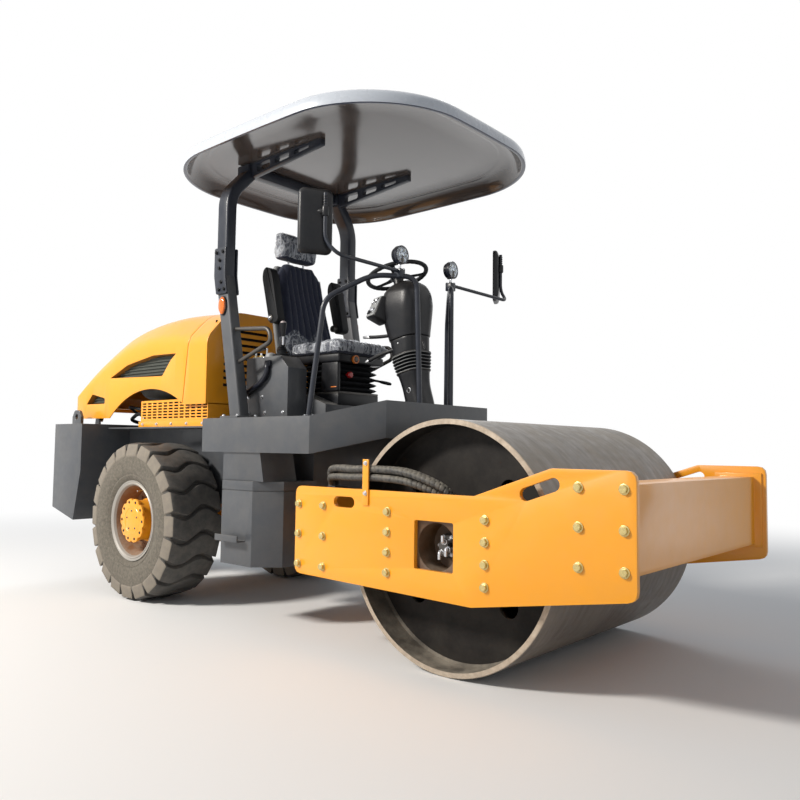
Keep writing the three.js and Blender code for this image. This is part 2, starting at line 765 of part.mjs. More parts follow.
function upperFrame() {
  const s = postLength / 2 + 1;
  const w = postWidth / 2 + 1;
  const armY = 420;
  const armTop = canopyZ + canopyCrown - canopyWall - seatGap;
  const crossZ = armTop - 20;
  const posts = [-1, 1].map((side) => {
    const y = side * postHalfTrack;
    const tube = block(postX - s, postX + s, y - w, y + w, postBendZ + seatGap, postTopZ);
    const plates = [-1, 1].map((face) => {
      const at = y + face * (w + 5);
      const shape = outline([
        [postX - 33, postBendZ - 125], [postX + 83, postBendZ - 125], [postX + 60, postBendZ],
        [postX + 60, postBendZ + 190], [postX - 60, postBendZ + 190], [postX - 60, postBendZ],
      ], 8);
      return slabY(shape, at - 5.5, at + 5.5);
    });
    const lean = rod([postX, y, postTopZ - 60], [postX + 20, side * armY, crossZ - 45], 55, 8);
    return [tube, ...plates, lean];
  });
  const cross = block(postX - 30, postX + 50, -armY, armY, crossZ - 50, crossZ + 20);
  const arms = [-1, 1].map((side) => {
    const shape = outline([
      [postX - 40, crossZ - 90], [postX + 760, crossZ - 20],
      [postX + 760, crossZ + 20], [postX - 40, crossZ + 20],
    ]);
    for (let i = 0; i < 3; i++) {
      const x = postX + 130 + i * 190;
      shape.holes.push(outline([
        [x, crossZ - 52 + i * 14], [x + 140, crossZ - 42 + i * 14], [x + 140, crossZ - 2], [x, crossZ - 2],
      ], 0, THREE.Path));
    }
    return slabY(shape, side * armY - 20, side * armY + 20);
  });
  return join(...posts.flat(), cross, ...arms);
}

// One ring of the canopy: a rectangle with round corners and bowed sides, grown or shrunk by the given scale.
function canopyRing(scale, z) {
  const a = canopyLength / 2 / (1 + canopyBow);
  const b = canopyHalf / (1 + canopyBow);
  const steps = 8;
  const ring = [];
  for (const [quarter, sx, sy] of [[0, 1, 1], [1, -1, 1], [2, -1, -1], [3, 1, -1]]) {
    for (let i = 0; i <= steps; i++) {
      const angle = ((quarter + i / steps) * Math.PI) / 2;
      const x = sx * (a - canopyCorner) + canopyCorner * Math.cos(angle);
      const y = sy * (b - canopyCorner) + canopyCorner * Math.sin(angle);
      const growX = scale * (1 + canopyBow * (1 - (y / b) ** 2));
      const growY = scale * (1 + canopyBow * (1 - (x / a) ** 2));
      ring.push([postX + canopyMiddle + x * growX, y * growY, z]);
    }
  }
  return ring;
}

function canopy() {
  const up = (share) => canopyZ + canopyCrown * share;
  const lining = up(1) - canopyWall;
  return loft([
    canopyRing(0.03, lining), canopyRing(0.87, lining), canopyRing(0.93, lining - canopyCrown * 0.22),
    canopyRing(0.965, up(0.2)), canopyRing(0.975, up(0)), canopyRing(1, up(0)), canopyRing(1, up(0.55)),
    canopyRing(0.985, up(0.8)), canopyRing(0.955, up(0.95)), canopyRing(0.91, up(1)), canopyRing(0.03, up(1)),
  ]);
}

// ---- seat and controls ----
const seatTop = deckTop + 530;
const seatHalf = 250;
const seatBaseTop = deckTop + 170;
const seatPanTop = seatTop - 95;

function seatBase() {
  const shape = outline([
    [seatX - 330, deckTop + seatGap], [seatX + 190, deckTop + seatGap], [seatX + 190, seatBaseTop - 70],
    [seatX - 20, seatBaseTop], [seatX - 330, seatBaseTop],
  ], 6);
  return slabY(shape, -300, 300);
}

function seatSuspension() {
  const pitch = 42;
  const folds = [0, 1, 2, 3, 4].flatMap((i) => {
    const z = seatBaseTop + seatGap + 20 + i * pitch;
    return [
      block(seatX - 190, seatX + 190, -190, 190, z, z + 14.5),
      block(seatX - 150, seatX + 150, -160, 160, z - 20, z + 22),
    ];
  });
  const pan = block(seatX - 210, seatX + 220, -215, 215, seatPanTop - 57, seatPanTop);
  return join(...folds, pan);
}

// A padded block: an outline from the seat's middle and the top of its cushion.
function softBlock(points, half, radius) {
  return slabY(outline(points.map(([x, z, own]) => [seatX + x, seatTop + z, own]), radius), -half, half);
}

function seatCushion() {
  const low = seatPanTop + seatGap - seatTop;
  return softBlock([[-240, low], [230, low], [265, -40], [230, 0], [-240, -15]], seatHalf, 18);
}

function seatBack() {
  const front = -240 - seatGap;
  return softBlock([[front, -110, 6], [front, 0], [-400, 610], [-510, 590], [-370, -110]], seatHalf, 18);
}

function headrest() {
  const side = [[-415, 625], [-400, 715], [-440, 815], [-520, 825], [-545, 685], [-520, 625]];
  const pad = softBlock(side, 150, 25);
  return join(pad, ...headrestStems(8));
}

function headrestStems(radius) {
  return [-1, 1].map((s) =>
    rod([seatX - 455, s * 70, seatTop + 540], [seatX - 465, s * 70, seatTop + 645], radius, 12),
  );
}

function armrest() {
  const inner = seatHalf + 25;
  const arm = outline([[-330, 140], [-235, 140], [-330, 510], [-400, 530], [-430, 470]].map(
    ([x, z]) => [seatX + x, seatTop + z],
  ), 25);
  const pivot = [seatX - 320, seatTop + 190];
  return join(
    slabY(arm, -inner - 65, -inner),
    rod([pivot[0], -inner - 5, pivot[1]], [pivot[0], -seatHalf - seatGap, pivot[1]], 22, 16),
  );
}

const sideConsoleTop = deckTop + 410;

function sideConsole() {
  const shape = outline([
    [seatX - 400, deckTop + seatGap], [seatX + 20, deckTop + seatGap], [seatX + 20, sideConsoleTop - 80],
    [seatX - 60, sideConsoleTop], [seatX - 400, sideConsoleTop],
  ], 8);
  return slabY(shape, -470, -310);
}

function travelLever() {
  const x = seatX - 130;
  const y = -390;
  const z = sideConsoleTop;
  return join(
    rod([x, y, z + seatGap], [x, y, z + 25], 45, 16),
    rod([x, y, z + 20], [x + 30, y, z + 190], 9, 10),
    rod([x + 28, y, z + 185], [x + 38, y, z + 240], 20, 12),
  );
}

const consoleX = deckFrontX - 215;

function steeringConsole() {
  const ring = (height, back, front, half) => {
    const z = deckTop + height;
    const x0 = consoleX + back;
    const x1 = consoleX + front;
    const c = 0.35 * half;
    return [
      [x0, -half + c, z], [x0 + c, -half, z], [x1 - c, -half, z], [x1, -half + c, z],
      [x1, half - c, z], [x1 - c, half, z], [x0 + c, half, z], [x0, half - c, z],
    ];
  };
  const stations = [
    [-20, 10, 170, 80], [220, -60, 90, 85], [370, -110, 80, 110], [510, -120, 70, 105], [620, -200, 80, 130],
    [720, -250, 90, 150], [830, -180, 60, 130], [880, -120, 10, 70],
  ];
  const column = loft(stations.map(([height, back, front, half]) => ring(height, back, front, half)));
  return cut(column, belowFloor(seatGap), steeringShaft(26));
}

const steeringTurn = new THREE.Matrix4().makeRotationY(-0.3).setPosition(consoleX - 150, 0, deckTop + 930);

function steeringShaft(radius) {
  return rod([0, 0, -5], [0, 0, -80 - radius / 20], radius, 12).transform(steeringTurn.elements);
}

function steeringWheel() {
  const ring = new THREE.TorusGeometry(190, 14, 6, 20);
  const dome = new THREE.CylinderGeometry(45, 60, 40, 16).rotateX(Math.PI / 2);
  const wheel = [solid(ring), solid(dome)];
  for (let i = 0; i < 3; i++) {
    const angle = Math.PI / 3 + (i * Math.PI * 2) / 3;
    const at = (radius) => [radius * Math.cos(angle), radius * Math.sin(angle), 0];
    wheel.push(rod(at(30), at(185), 9, 8));
  }
  return join(...wheel).transform(steeringTurn.elements).add(steeringShaft(25));
}

// ---- handrails, mirrors and lamps ----
const railRadius = 16;
const railRear = [pivotX + 90, -650];
const railFront = [deckFrontX - 42, -150];
const railTopZ = deckTop + 850;

// A point of the rail's plane: 0 at its rear foot, 1 at its front foot.
function alongRail(t, z) {
  return [railRear[0] + (railFront[0] - railRear[0]) * t, railRear[1] + (railFront[1] - railRear[1]) * t, z];
}

function railPipe(radius) {
  return bentPipe([
    alongRail(0, deckTop), alongRail(0.12, railTopZ - 150),
    alongRail(0.55, railTopZ), alongRail(0.96, railTopZ),
    alongRail(1, deckTop + deckRampRise * 0.5),
  ], radius, 90, 18);
}

function handrail() {
  const rearZ = deckTop + seatGap;
  const frontZ = deckTop + deckRampRise * 0.93;
  const pipeOf = railPipe(railRadius);
  const flange = (point, z) => rod([...point, z], [...point, z + 12], 38, 16);
  const frontFlanges = [flange(railFront, frontZ - 6), flange(railFront, frontZ + 4)];
  const made = join(pipeOf, flange(railRear, rearZ), ...frontFlanges);
  return cut(made, belowFloor(seatGap));
}

const clampAt = alongRail(0.8, railTopZ);
const clampTop = railTopZ + 42;
const mirrorX = deckFrontX - 130;
const mirrorY = -850;

function mirror() {
  const [clampX, clampY] = clampAt;
  const start = [clampX, clampY, railTopZ + 29];
  const headZ = start[2] + 170;
  const clamp = cut(
    block(clampX - 24, clampX + 24, clampY - 24, clampY + 24, railTopZ - 10, clampTop),
    railPipe(railRadius + seatGap),
  );
  const arm = bentPipe([
    start, [mirrorX + 60, mirrorY + 30, start[2] - 20], [mirrorX - 10, mirrorY, start[2] + 60],
    [mirrorX - 10, mirrorY, headZ + 150],
  ], 11, 60, 12, 6);
  const head = new THREE.Matrix4().makeRotationZ(-Math.PI / 6).setPosition(mirrorX - 50, mirrorY - 30, headZ);
  const shell = slabX(outline([[-95, -180], [95, -180], [95, 180], [-95, 180]], 25), -30, 10);
  const ball = rod([mirrorX - 50, mirrorY - 10, headZ + 50], [mirrorX - 6, mirrorY, headZ + 50], 18, 12);
  return join(arm, clamp, shell.transform(head.elements), ball);
}

function lamp() {
  const at = [clampAt[0], clampAt[1], railTopZ + 125];
  const can = turnedY([[0, -30], [42, -30], [56, 0], [56, 22], [0, 22]], 0, 0, 20);
  const turn = new THREE.Matrix4().makeRotationZ(-Math.PI / 2 - 0.05).setPosition(...at);
  const stem = rod([at[0], at[1], clampTop + seatGap], [at[0], at[1], at[2] - 40], 9, 8);
  return join(can.transform(turn.elements), stem);
}

function markerLamp() {
  const y = -postHalfTrack - postWidth / 2 - seatGap;
  const shape = new THREE.Shape();
  shape.absellipse(0, 0, 38, 65, 0, Math.PI * 2);
  const [x, , z] = onPost(postBendZ - deckTop - 205, y);
  return slabY(shape, y - 26, y).translate([x, 0, z]);
}

// ---- steering cylinders ----
const cylinderLength = 730; // between the two eyes, at rest
const barrelRadius = 40;
const rodRadius = 20;

function barrel() {
  const x = forkX - cylinderLength;
  const eye = rod([x, -forkY, pivotZ - 25], [x, -forkY, pivotZ + 25], 38, 24);
  const tube = rod([x + 20, -forkY, pivotZ], [x + 480, -forkY, pivotZ], barrelRadius, 24);
  const bore = rod([x + 55, -forkY, pivotZ], [x + 490, -forkY, pivotZ], rodRadius + runningGap, 24);
  const pin = rod([x, -forkY, pivotZ - 40], [x, -forkY, pivotZ + 40], 20 + runningGap, 24);
  return cut(join(eye, tube), bore, pin);
}

function pistonRod() {
  const end = forkX;
  const eye = rod([end, -forkY, pivotZ - eyeThickness / 2], [end, -forkY, pivotZ + eyeThickness / 2], 36, 24);
  const bar = rod([end - 490, -forkY, pivotZ], [end - 20, -forkY, pivotZ], rodRadius, 24);
  return join(eye, bar);
}

// ---- assembly ----
const roller = new THREE.Group();

function geometryOf(made) {
  const mesh = made.getMesh();
  const geometry = new THREE.BufferGeometry();
  const stride = mesh.numProp;
  const positions = new Float32Array(mesh.numVert * 3);
  for (let i = 0; i < mesh.numVert; i++) {
    positions.set(mesh.vertProperties.subarray(i * stride, i * stride + 3), i * 3);
  }
  geometry.setAttribute("position", new THREE.BufferAttribute(positions, 3));
  geometry.setIndex(new THREE.BufferAttribute(mesh.triVerts, 1));
  return geometry;
}

function place(name, made, material) {
  const mesh = new THREE.Mesh(geometryOf(made), material);
  mesh.name = name;
  roller.add(mesh);
}

// A right-hand piece and its mirror image on the left.
function placePair(name, right, material) {
  place(name + "_right", right, material);
  place(name + "_left", mirrored(right), material);
}

placePair("side_plate", mirrored(sidePlate()), yellow);
place("front_beam", frontBeam(), yellow);
place("rear_beam", rearBeam(), yellow);
placePair("drum_carrier", drumCarrier(), black);
place("drum", drum(), steel);
place("drum_heads", drumHeads(), steel);
place("drum_hoses", drumHoses(), black);
place("hose_bracket", hoseBracket(), yellow);

const wheelY = wheelTrack / 2;
const wheelPart = (profile, segments) =>
  turnedY(profile, axleX, tyreRadius, segments).translate([0, wheelY, 0]);
placePair("tyre", mirrored(wheelPart(tyre(), 32)), rubber);
placePair("rim", mirrored(wheelPart(rim(), 32)), steel);
placePair("wheel_hub", mirrored(wheelPart(hub(), 32)), yellow);

place("chassis", chassis(), grey);
place("rear_axle", rearAxle(), yellow);
place("counterweight", counterweight(), grey);
place("engine_block", engineBlock(), black);
place("hood", hood(), yellow);
place("hood_front", hoodFront(), yellow);
placePair("side_grille", sideGrille(), yellow);

place("deck", deck(), grey);
placePair("step_box", stepBox(), grey);
placePair("lower_post", lowerPost(), grey);
place("upper_frame", upperFrame(), grey);
place("canopy", canopy(), white);

place("seat_base", seatBase(), black);
place("seat_suspension", seatSuspension(), plastic);
place("seat_cushion", seatCushion(), fabric);
place("seat_back", cut(seatBack(), ...headrestStems(8 + runningGap)), fabric);
place("headrest", headrest(), fabric);
placePair("armrest", armrest(), fabric);
place("side_console", sideConsole(), grey);
place("travel_lever", travelLever(), black);
place("steering_console", steeringConsole(), plastic);
place("steering_wheel", steeringWheel(), plastic);

placePair("handrail", handrail(), black);
placePair("mirror", mirror(), black);
placePair("work_lamp", lamp(), chrome);
placePair("marker_lamp", markerLamp(), orange);

placePair("cylinder_barrel", barrel(), black);
placePair("cylinder_rod", pistonRod(), chrome);

export default roller;
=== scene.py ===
"""Finishes and fine shapes of a single-drum road roller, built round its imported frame.

Metres, +X forward, +Z up.
"""

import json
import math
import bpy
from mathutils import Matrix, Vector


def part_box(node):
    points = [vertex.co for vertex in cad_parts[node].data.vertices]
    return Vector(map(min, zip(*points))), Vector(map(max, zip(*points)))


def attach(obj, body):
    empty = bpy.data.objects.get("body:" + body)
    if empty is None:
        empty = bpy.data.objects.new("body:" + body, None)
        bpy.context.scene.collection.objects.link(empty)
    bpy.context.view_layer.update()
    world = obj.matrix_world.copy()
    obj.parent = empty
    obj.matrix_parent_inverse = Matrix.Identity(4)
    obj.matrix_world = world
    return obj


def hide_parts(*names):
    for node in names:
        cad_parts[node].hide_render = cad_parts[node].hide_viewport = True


bl_info = {
    "name": "Road Roller Finish",
    "version": (1, 0, 0),
    "blender": (4, 5, 0),
    "location": "View3D > Sidebar > Roller",
    "description": "Builds a road roller's plates, drum, tyres, hood, canopy and seat round its frame",
    "category": "Object",
}

import bpy
from bpy.props import FloatProperty, FloatVectorProperty, IntProperty, PointerProperty
from mathutils import Matrix, Vector
from mathutils import noise as fractal_noise

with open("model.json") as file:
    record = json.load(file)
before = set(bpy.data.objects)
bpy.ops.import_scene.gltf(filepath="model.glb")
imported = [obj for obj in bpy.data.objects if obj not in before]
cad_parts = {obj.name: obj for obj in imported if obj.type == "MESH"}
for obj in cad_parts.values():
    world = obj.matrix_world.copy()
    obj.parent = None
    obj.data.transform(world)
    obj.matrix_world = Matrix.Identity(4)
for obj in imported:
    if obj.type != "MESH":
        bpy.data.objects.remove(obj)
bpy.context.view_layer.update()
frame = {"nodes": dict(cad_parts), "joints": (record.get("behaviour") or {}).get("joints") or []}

JOINTS = {joint["name"]: joint for joint in frame["joints"]}
DRUM_AXLE = Vector(JOINTS["drum_spin"]["pos_m"])
SIDES = {"right": -1, "left": 1}


# ---------------------------------------------------------------- sizes and colours a user would change
class RollerSizes(bpy.types.PropertyGroup):
    """Sizes of the small shapes that the frame leaves out."""

    plate_edge: FloatProperty(
        name="Plate edge", description="Rounding of a cut steel plate's edges",
        default=0.0025, min=0.0005, max=0.01, unit="LENGTH")
    bolt_head: FloatProperty(
        name="Bolt head", description="Half the width of a frame bolt's head across its corners",
        default=0.0175, min=0.005, max=0.04, unit="LENGTH")
    lug_count: IntProperty(
        name="Tread lugs", description="Lugs round one tyre", default=20, min=12, max=36)
    lug_height: FloatProperty(
        name="Lug height", description="Depth of the tread's grooves",
        default=0.03, min=0.01, max=0.05, unit="LENGTH")
    hose_pitch: FloatProperty(
        name="Hose wrap pitch", description="Advance of the spiral wrap in one turn",
        default=0.026, min=0.01, max=0.06, unit="LENGTH")
    drum_steps: IntProperty(
        name="Drum steps", description="Flats round the drum's shell", default=160, min=48, max=256)


class RollerColours(bpy.types.PropertyGroup):
    """Base colours of the finishes."""

    yellow: FloatVectorProperty(
        name="Yellow enamel", description="Frame plates, hood and hubs", subtype="COLOR", size=3,
        default=(0.94, 0.375, 0.008), min=0, max=1)
    grey: FloatVectorProperty(
        name="Grey enamel", description="Platform, chassis and posts", subtype="COLOR", size=3,
        default=(0.062, 0.068, 0.078), min=0, max=1)
    black: FloatVectorProperty(
        name="Black enamel", description="Rails, arms and castings", subtype="COLOR", size=3,
        default=(0.009, 0.012, 0.022), min=0, max=1)
    steel: FloatVectorProperty(
        name="Rolled steel", description="Bare steel of the drum", subtype="COLOR", size=3,
        default=(0.215, 0.195, 0.175), min=0, max=1)
    rubber: FloatVectorProperty(
        name="Tyre rubber", description="Tyres under their dust", subtype="COLOR", size=3,
        default=(0.062, 0.06, 0.057), min=0, max=1)
    dust: FloatVectorProperty(
        name="Dust", description="Dry dust on the drum, tyres and platform", subtype="COLOR", size=3,
        default=(0.36, 0.32, 0.26), min=0, max=1)
    cloth: FloatVectorProperty(
        name="Seat cloth", description="Woven cover of the seat", subtype="COLOR", size=3,
        default=(0.014, 0.019, 0.042), min=0, max=1)
    canopy: FloatVectorProperty(
        name="Canopy", description="Outer gelcoat of the canopy", subtype="COLOR", size=3,
        default=(0.52, 0.56, 0.62), min=0, max=1)


GROUPS = {}
FINISHES = {}


# ---------------------------------------------------------------- modelling steps shared by the pieces
def pick(*objects):
    """Selects these objects and nothing else, the last one active."""
    bpy.ops.object.select_all(action="DESELECT")
    for item in objects:
        item.select_set(True)
    bpy.context.view_layer.objects.active = objects[-1]


def apply_modifier(piece, kind, **settings):
    pick(piece)
    bpy.ops.object.modifier_add(type=kind)
    modifier = piece.modifiers[-1]
    for name, value in settings.items():
        setattr(modifier, name, value)
    bpy.ops.object.modifier_apply(modifier=modifier.name)
    return piece


def bevelled(piece, width, segments=2, angle=30):
    return apply_modifier(
        piece, "BEVEL", width=width, segments=segments, limit_method="ANGLE",
        angle_limit=math.radians(angle), use_clamp_overlap=True)


def settled(name):
    """Names the new primitive and moves its place and size into its mesh."""
    piece = bpy.context.active_object
    piece.name = name
    bpy.ops.object.transform_apply(location=True, rotation=True, scale=True)
    return piece


def block(name, low, high, edge=0.003, segments=2):
    bpy.ops.object.select_all(action="DESELECT")
    low, high = Vector(low), Vector(high)
    bpy.ops.mesh.primitive_cube_add(size=1, location=(low + high) / 2, scale=high - low)
    piece = settled(name)
    return bevelled(piece, edge, segments) if edge else piece


def bar(name, start, end, radius, sides=24, edge=0.0, tip=None):
    """A round bar between two points, or a cone where the tip has its own radius."""
    start, end = Vector(start), Vector(end)
    along = end - start
    turn = along.to_track_quat("Z", "Y").to_euler()
    bpy.ops.object.select_all(action="DESELECT")
    bpy.ops.mesh.primitive_cone_add(
        vertices=sides, radius1=radius, radius2=radius if tip is None else tip, depth=along.length,
        location=(start + end) / 2, rotation=turn)
    piece = settled(name)
    return bevelled(piece, edge) if edge else piece


def from_points(name, points, faces=(), edges=()):
    mesh = bpy.data.meshes.new(name)
    mesh.from_pydata([tuple(point) for point in points], list(edges), list(faces))
    piece = bpy.data.objects.new(name, mesh)
    bpy.context.scene.collection.objects.link(piece)
    return piece


def cleaned(piece, gap=1e-5):
    """Merges doubled points and turns all faces outwards."""
    pick(piece)
    bpy.ops.object.mode_set(mode="EDIT")
    bpy.ops.mesh.select_all(action="SELECT")
    bpy.ops.mesh.remove_doubles(threshold=gap)
    bpy.ops.mesh.normals_make_consistent(inside=False)
    bpy.ops.object.mode_set(mode="OBJECT")
    return piece


def turned(name, profile, origin, steps=64, direction=(0, 1, 0), closed=False):
    """Spins a profile of (radius, distance along) round a line through the origin point."""
    points = [(radius, along, 0) for radius, along in profile]
    edges = [(i, i + 1) for i in range(len(points) - 1)]
    if closed:
        edges.append((len(points) - 1, 0))
    piece = from_points(name, points, edges=edges)
    pick(piece)
    bpy.ops.object.mode_set(mode="EDIT")
    bpy.ops.mesh.select_all(action="SELECT")
    bpy.ops.mesh.spin(steps=steps, angle=math.tau, center=(0, 0, 0), axis=(0, 1, 0))
    bpy.ops.object.mode_set(mode="OBJECT")
    turn = Vector((0, 1, 0)).rotation_difference(Vector(direction)).to_matrix().to_4x4()
    piece.data.transform(Matrix.Translation(origin) @ turn)
    return cleaned(piece)


AXES = {"XZ": (0, 2, 1), "XY": (0, 1, 2), "YZ": (1, 2, 0)}


def slab(name, outline, low, high, plane="XZ", radius=0.0, edge=0.0025, steps=6):
    """An outline in a plane, its corners rounded, extruded across the plane from low to high."""
    a, b, c = AXES[plane]
    points = []
    for first, second in outline:
        point = [0.0, 0.0, 0.0]
        point[a], point[b], point[c] = first, second, low
        points.append(point)
    across = [0.0, 0.0, 0.0]
    across[c] = high - low
    piece = from_points(name, points, [list(range(len(points)))])
    pick(piece)
    bpy.ops.object.mode_set(mode="EDIT")
    bpy.ops.mesh.select_all(action="SELECT")
    if radius:
        bpy.ops.mesh.bevel(offset=radius, segments=steps, affect="VERTICES")
        bpy.ops.mesh.select_all(action="SELECT")
    bpy.ops.mesh.extrude_region_move(TRANSFORM_OT_translate={"value": across})
    bpy.ops.object.mode_set(mode="OBJECT")
    cleaned(piece)
    return bevelled(piece, edge) if edge else piece


def cut(piece, *tools, solver="EXACT"):
    for tool in tools:
        apply_modifier(piece, "BOOLEAN", operation="DIFFERENCE", object=tool, solver=solver)
        bpy.data.objects.remove(tool)
    return piece


def bent(points, bend, steps=8):
    """The points of a line with each corner turned in a curve."""
    corners = [Vector(point) for point in points]
    path = [corners[0]]
    for before, corner, after in zip(corners, corners[1:], corners[2:]):
        back, on = before - corner, after - corner
        reach = min(bend, back.length / 2.1, on.length / 2.1)
        start, end = corner + back.normalized() * reach, corner + on.normalized() * reach
        for i in range(steps + 1):
            t = i / steps
            path.append(start * (1 - t) ** 2 + corner * 2 * t * (1 - t) + end * t * t)
    path.append(corners[-1])
    return path


def tube(name, path, radius, roundness=4, closed=False):
    curve = bpy.data.curves.new(name, "CURVE")
    curve.dimensions = "3D"
    spline = curve.splines.new("POLY")
    spline.points.add(len(path) - 1)
    for point, place in zip(spline.points, path):
        point.co = (*place, 1)
    spline.use_cyclic_u = closed
    curve.bevel_depth = radius
    curve.bevel_resolution = roundness
    curve.use_fill_caps = not closed
    piece = bpy.data.objects.new(name, curve)
    bpy.context.scene.collection.objects.link(piece)
    pick(piece)
    bpy.ops.object.convert(target="MESH")
    return cleaned(bpy.context.active_object)


def spline_points(points, count):
    """A smooth curve through the given points, as evenly timed samples."""
    given = [Vector(point) for point in points]
    ends = [given[0] * 2 - given[1], *given, given[-1] * 2 - given[-2]]
    made = []
    spans = len(given) - 1
    for k in range(count + 1):
        place = k / count * spans
        i = min(int(place), spans - 1)
        t = place - i
        p0, p1, p2, p3 = ends[i:i + 4]
        made.append(0.5 * (2 * p1 + (p2 - p0) * t + (2 * p0 - 5 * p1 + 4 * p2 - p3) * t * t
                           + (3 * p1 - p0 - 3 * p2 + p3) * t ** 3))
    return made


def swept(name, path, section):
    """A skin of rings along a path; section(k, angle) gives the radius at ring k."""
    sides = 18
    side = (path[1] - path[0]).orthogonal().normalized()
    points, faces = [], []
    for k, here in enumerate(path):
        ahead = path[min(k + 1, len(path) - 1)] - path[max(k - 1, 0)]
        ahead.normalize()
        side = (side - ahead * side.dot(ahead)).normalized()
        up = ahead.cross(side)
        for i in range(sides):
            angle = math.tau * i / sides
            points.append(here + (side * math.cos(angle) + up * math.sin(angle)) * section(k, angle))
    for k in range(len(path) - 1):
        for i in range(sides):
            a, b = k * sides + i, k * sides + (i + 1) % sides
            faces.append((a, b, b + sides, a + sides))
    faces.append(tuple(range(sides))[::-1])
    faces.append(tuple(range(len(points) - sides, len(points))))
    return cleaned(from_points(name, points, faces))


def lofted(name, rings, caps=True):
    """A skin over rings of equal length."""
    count = len(rings[0])
    points = [point for ring in rings for point in ring]
    faces = []
    for k in range(len(rings) - 1):
        for i in range(count):
            a, b = k * count + i, k * count + (i + 1) % count
            faces.append((a, b, b + count, a + count))
    if caps:
        faces.append(tuple(range(count))[::-1])
        faces.append(tuple(range(len(points) - count, len(points))))
    return cleaned(from_points(name, points, faces))


def dressed(piece, *names):
    """Gives a piece the finishes of these names and no others."""
    piece.data.materials.clear()
    for name in names:
        piece.data.materials.append(FINISHES[name])
    return piece


def joined(name, pieces):
    if len(pieces) > 1:
        pick(*pieces)
        bpy.ops.object.join()
    piece = pieces[-1]
    piece.name = name
    return piece


def copied(piece, name, matrix=None):
    twin = piece.copy()
    twin.data = piece.data.copy()
    twin.name = name
    bpy.context.scene.collection.objects.link(twin)
    if matrix is not None:
        twin.data.transform(matrix)
        if matrix.determinant() < 0:
            twin.data.flip_normals()
    return twin


def placed(model, matrix):
    """Moves a small model into its place for good."""
    model.data.transform(matrix)
    return model


MIRROR = Matrix.Scale(-1, 4, (0, 1, 0))


def scattered(name, model, places):
    """Copies of one small model, each moved by its own matrix, as one piece. The model is used up."""
    copies = [copied(model, f"{name}_{i}", place) for i, place in enumerate(places)]
    bpy.data.objects.remove(model)
    return joined(name, copies)


def facing(place, normal, spin=0.0):
    """A matrix that turns a small model made along +Z to face a normal at a place."""
    turn = Vector(normal).to_track_quat("Z", "Y").to_matrix().to_4x4()
    return Matrix.Translation(place) @ turn @ Matrix.Rotation(spin, 4, "Z")


def shaded(piece, angle=35):
    pick(piece)
    bpy.ops.object.shade_smooth_by_angle(angle=math.radians(angle))
    return piece


def present(piece, body, replaces=(), angle=35):
    """Smooths a finished piece and sets what it rides on and stands for."""
    shaded(piece, angle)
    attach(piece, body)
    if replaces:
        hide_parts(*replaces)
    return piece


FLAT_WITHIN = 0.6  # degrees between faces that count as one flat face


def refined(node, material, edge, segments=2, name=None, angle=30):
    """A copy of a frame node with its flat faces merged and its edges rounded."""
    source = frame["nodes"][node]
    piece = bpy.data.objects.new(name or node + "_finish", source.data.copy())
    bpy.context.scene.collection.objects.link(piece)
    cleaned(piece, 1e-5)
    bpy.ops.object.mode_set(mode="EDIT")
    bpy.ops.mesh.select_all(action="SELECT")
    bpy.ops.mesh.dissolve_limited(angle_limit=math.radians(FLAT_WITHIN))
    bpy.ops.object.mode_set(mode="OBJECT")
    bevelled(piece, edge, segments, angle)
    return dressed(piece, material)


# ---------------------------------------------------------------- shader groups shared by the finishes
def new_group(name, inputs, outputs):
    group = bpy.data.node_groups.new(name, "ShaderNodeTree")
    for label, kind, default in inputs:
        socket = group.interface.new_socket(label, in_out="INPUT", socket_type=kind)
        socket.default_value = default
    for label, kind in outputs:
        group.interface.new_socket(label, in_out="OUTPUT", socket_type=kind)
    entry = group.nodes.new("NodeGroupInput")
    leave = group.nodes.new("NodeGroupOutput")
    return group, entry.outputs, leave.inputs


def math_node(tree, operation, a, b=None, clamp=False):
    node = tree.nodes.new("ShaderNodeMath")
    node.operation = operation
    node.use_clamp = clamp
    for i, value in enumerate((a, b)):
        if value is None:
            continue
        if isinstance(value, (int, float)):
            node.inputs[i].default_value = value
        else:
            tree.links.new(value, node.inputs[i])
    return node.outputs[0]


def mixed(tree, factor, first, second, blend="MIX"):
    node = tree.nodes.new("ShaderNodeMix")
    node.data_type = "RGBA"
    node.blend_type = blend
    for socket, value in ((node.inputs[0], factor), (node.inputs[6], first), (node.inputs[7], second)):
        if isinstance(value, bpy.types.NodeSocket):
            tree.links.new(value, socket)
        else:
            socket.default_value = value
    return node.outputs[2]


def greyed(tree, colour, value):
    """A colour multiplied by one value in its three channels."""
    grey = tree.nodes.new("ShaderNodeCombineColor")
    for channel in range(3):
        tree.links.new(value, grey.inputs[channel])
    return mixed(tree, 1.0, colour, grey.outputs[0], "MULTIPLY")


def ranged(tree, value, low, high, new_low=0.0, new_high=1.0):
    """A value taken from one range to another and held inside it."""
    node = tree.nodes.new("ShaderNodeMapRange")
    for label, bound in (("From Min", low), ("From Max", high), ("To Min", new_low), ("To Max", new_high)):
        node.inputs[label].default_value = bound
    tree.links.new(value, node.inputs["Value"])
    return node.outputs[0]


def bumped(tree, height, strength, distance):
    """Raises the surface of the finish by a height."""
    bump = tree.nodes.new("ShaderNodeBump")
    bump.inputs["Strength"].default_value = strength
    bump.inputs["Distance"].default_value = distance
    tree.links.new(height, bump.inputs["Height"])
    tree.links.new(bump.outputs["Normal"], tree.nodes["Principled BSDF"].inputs["Normal"])


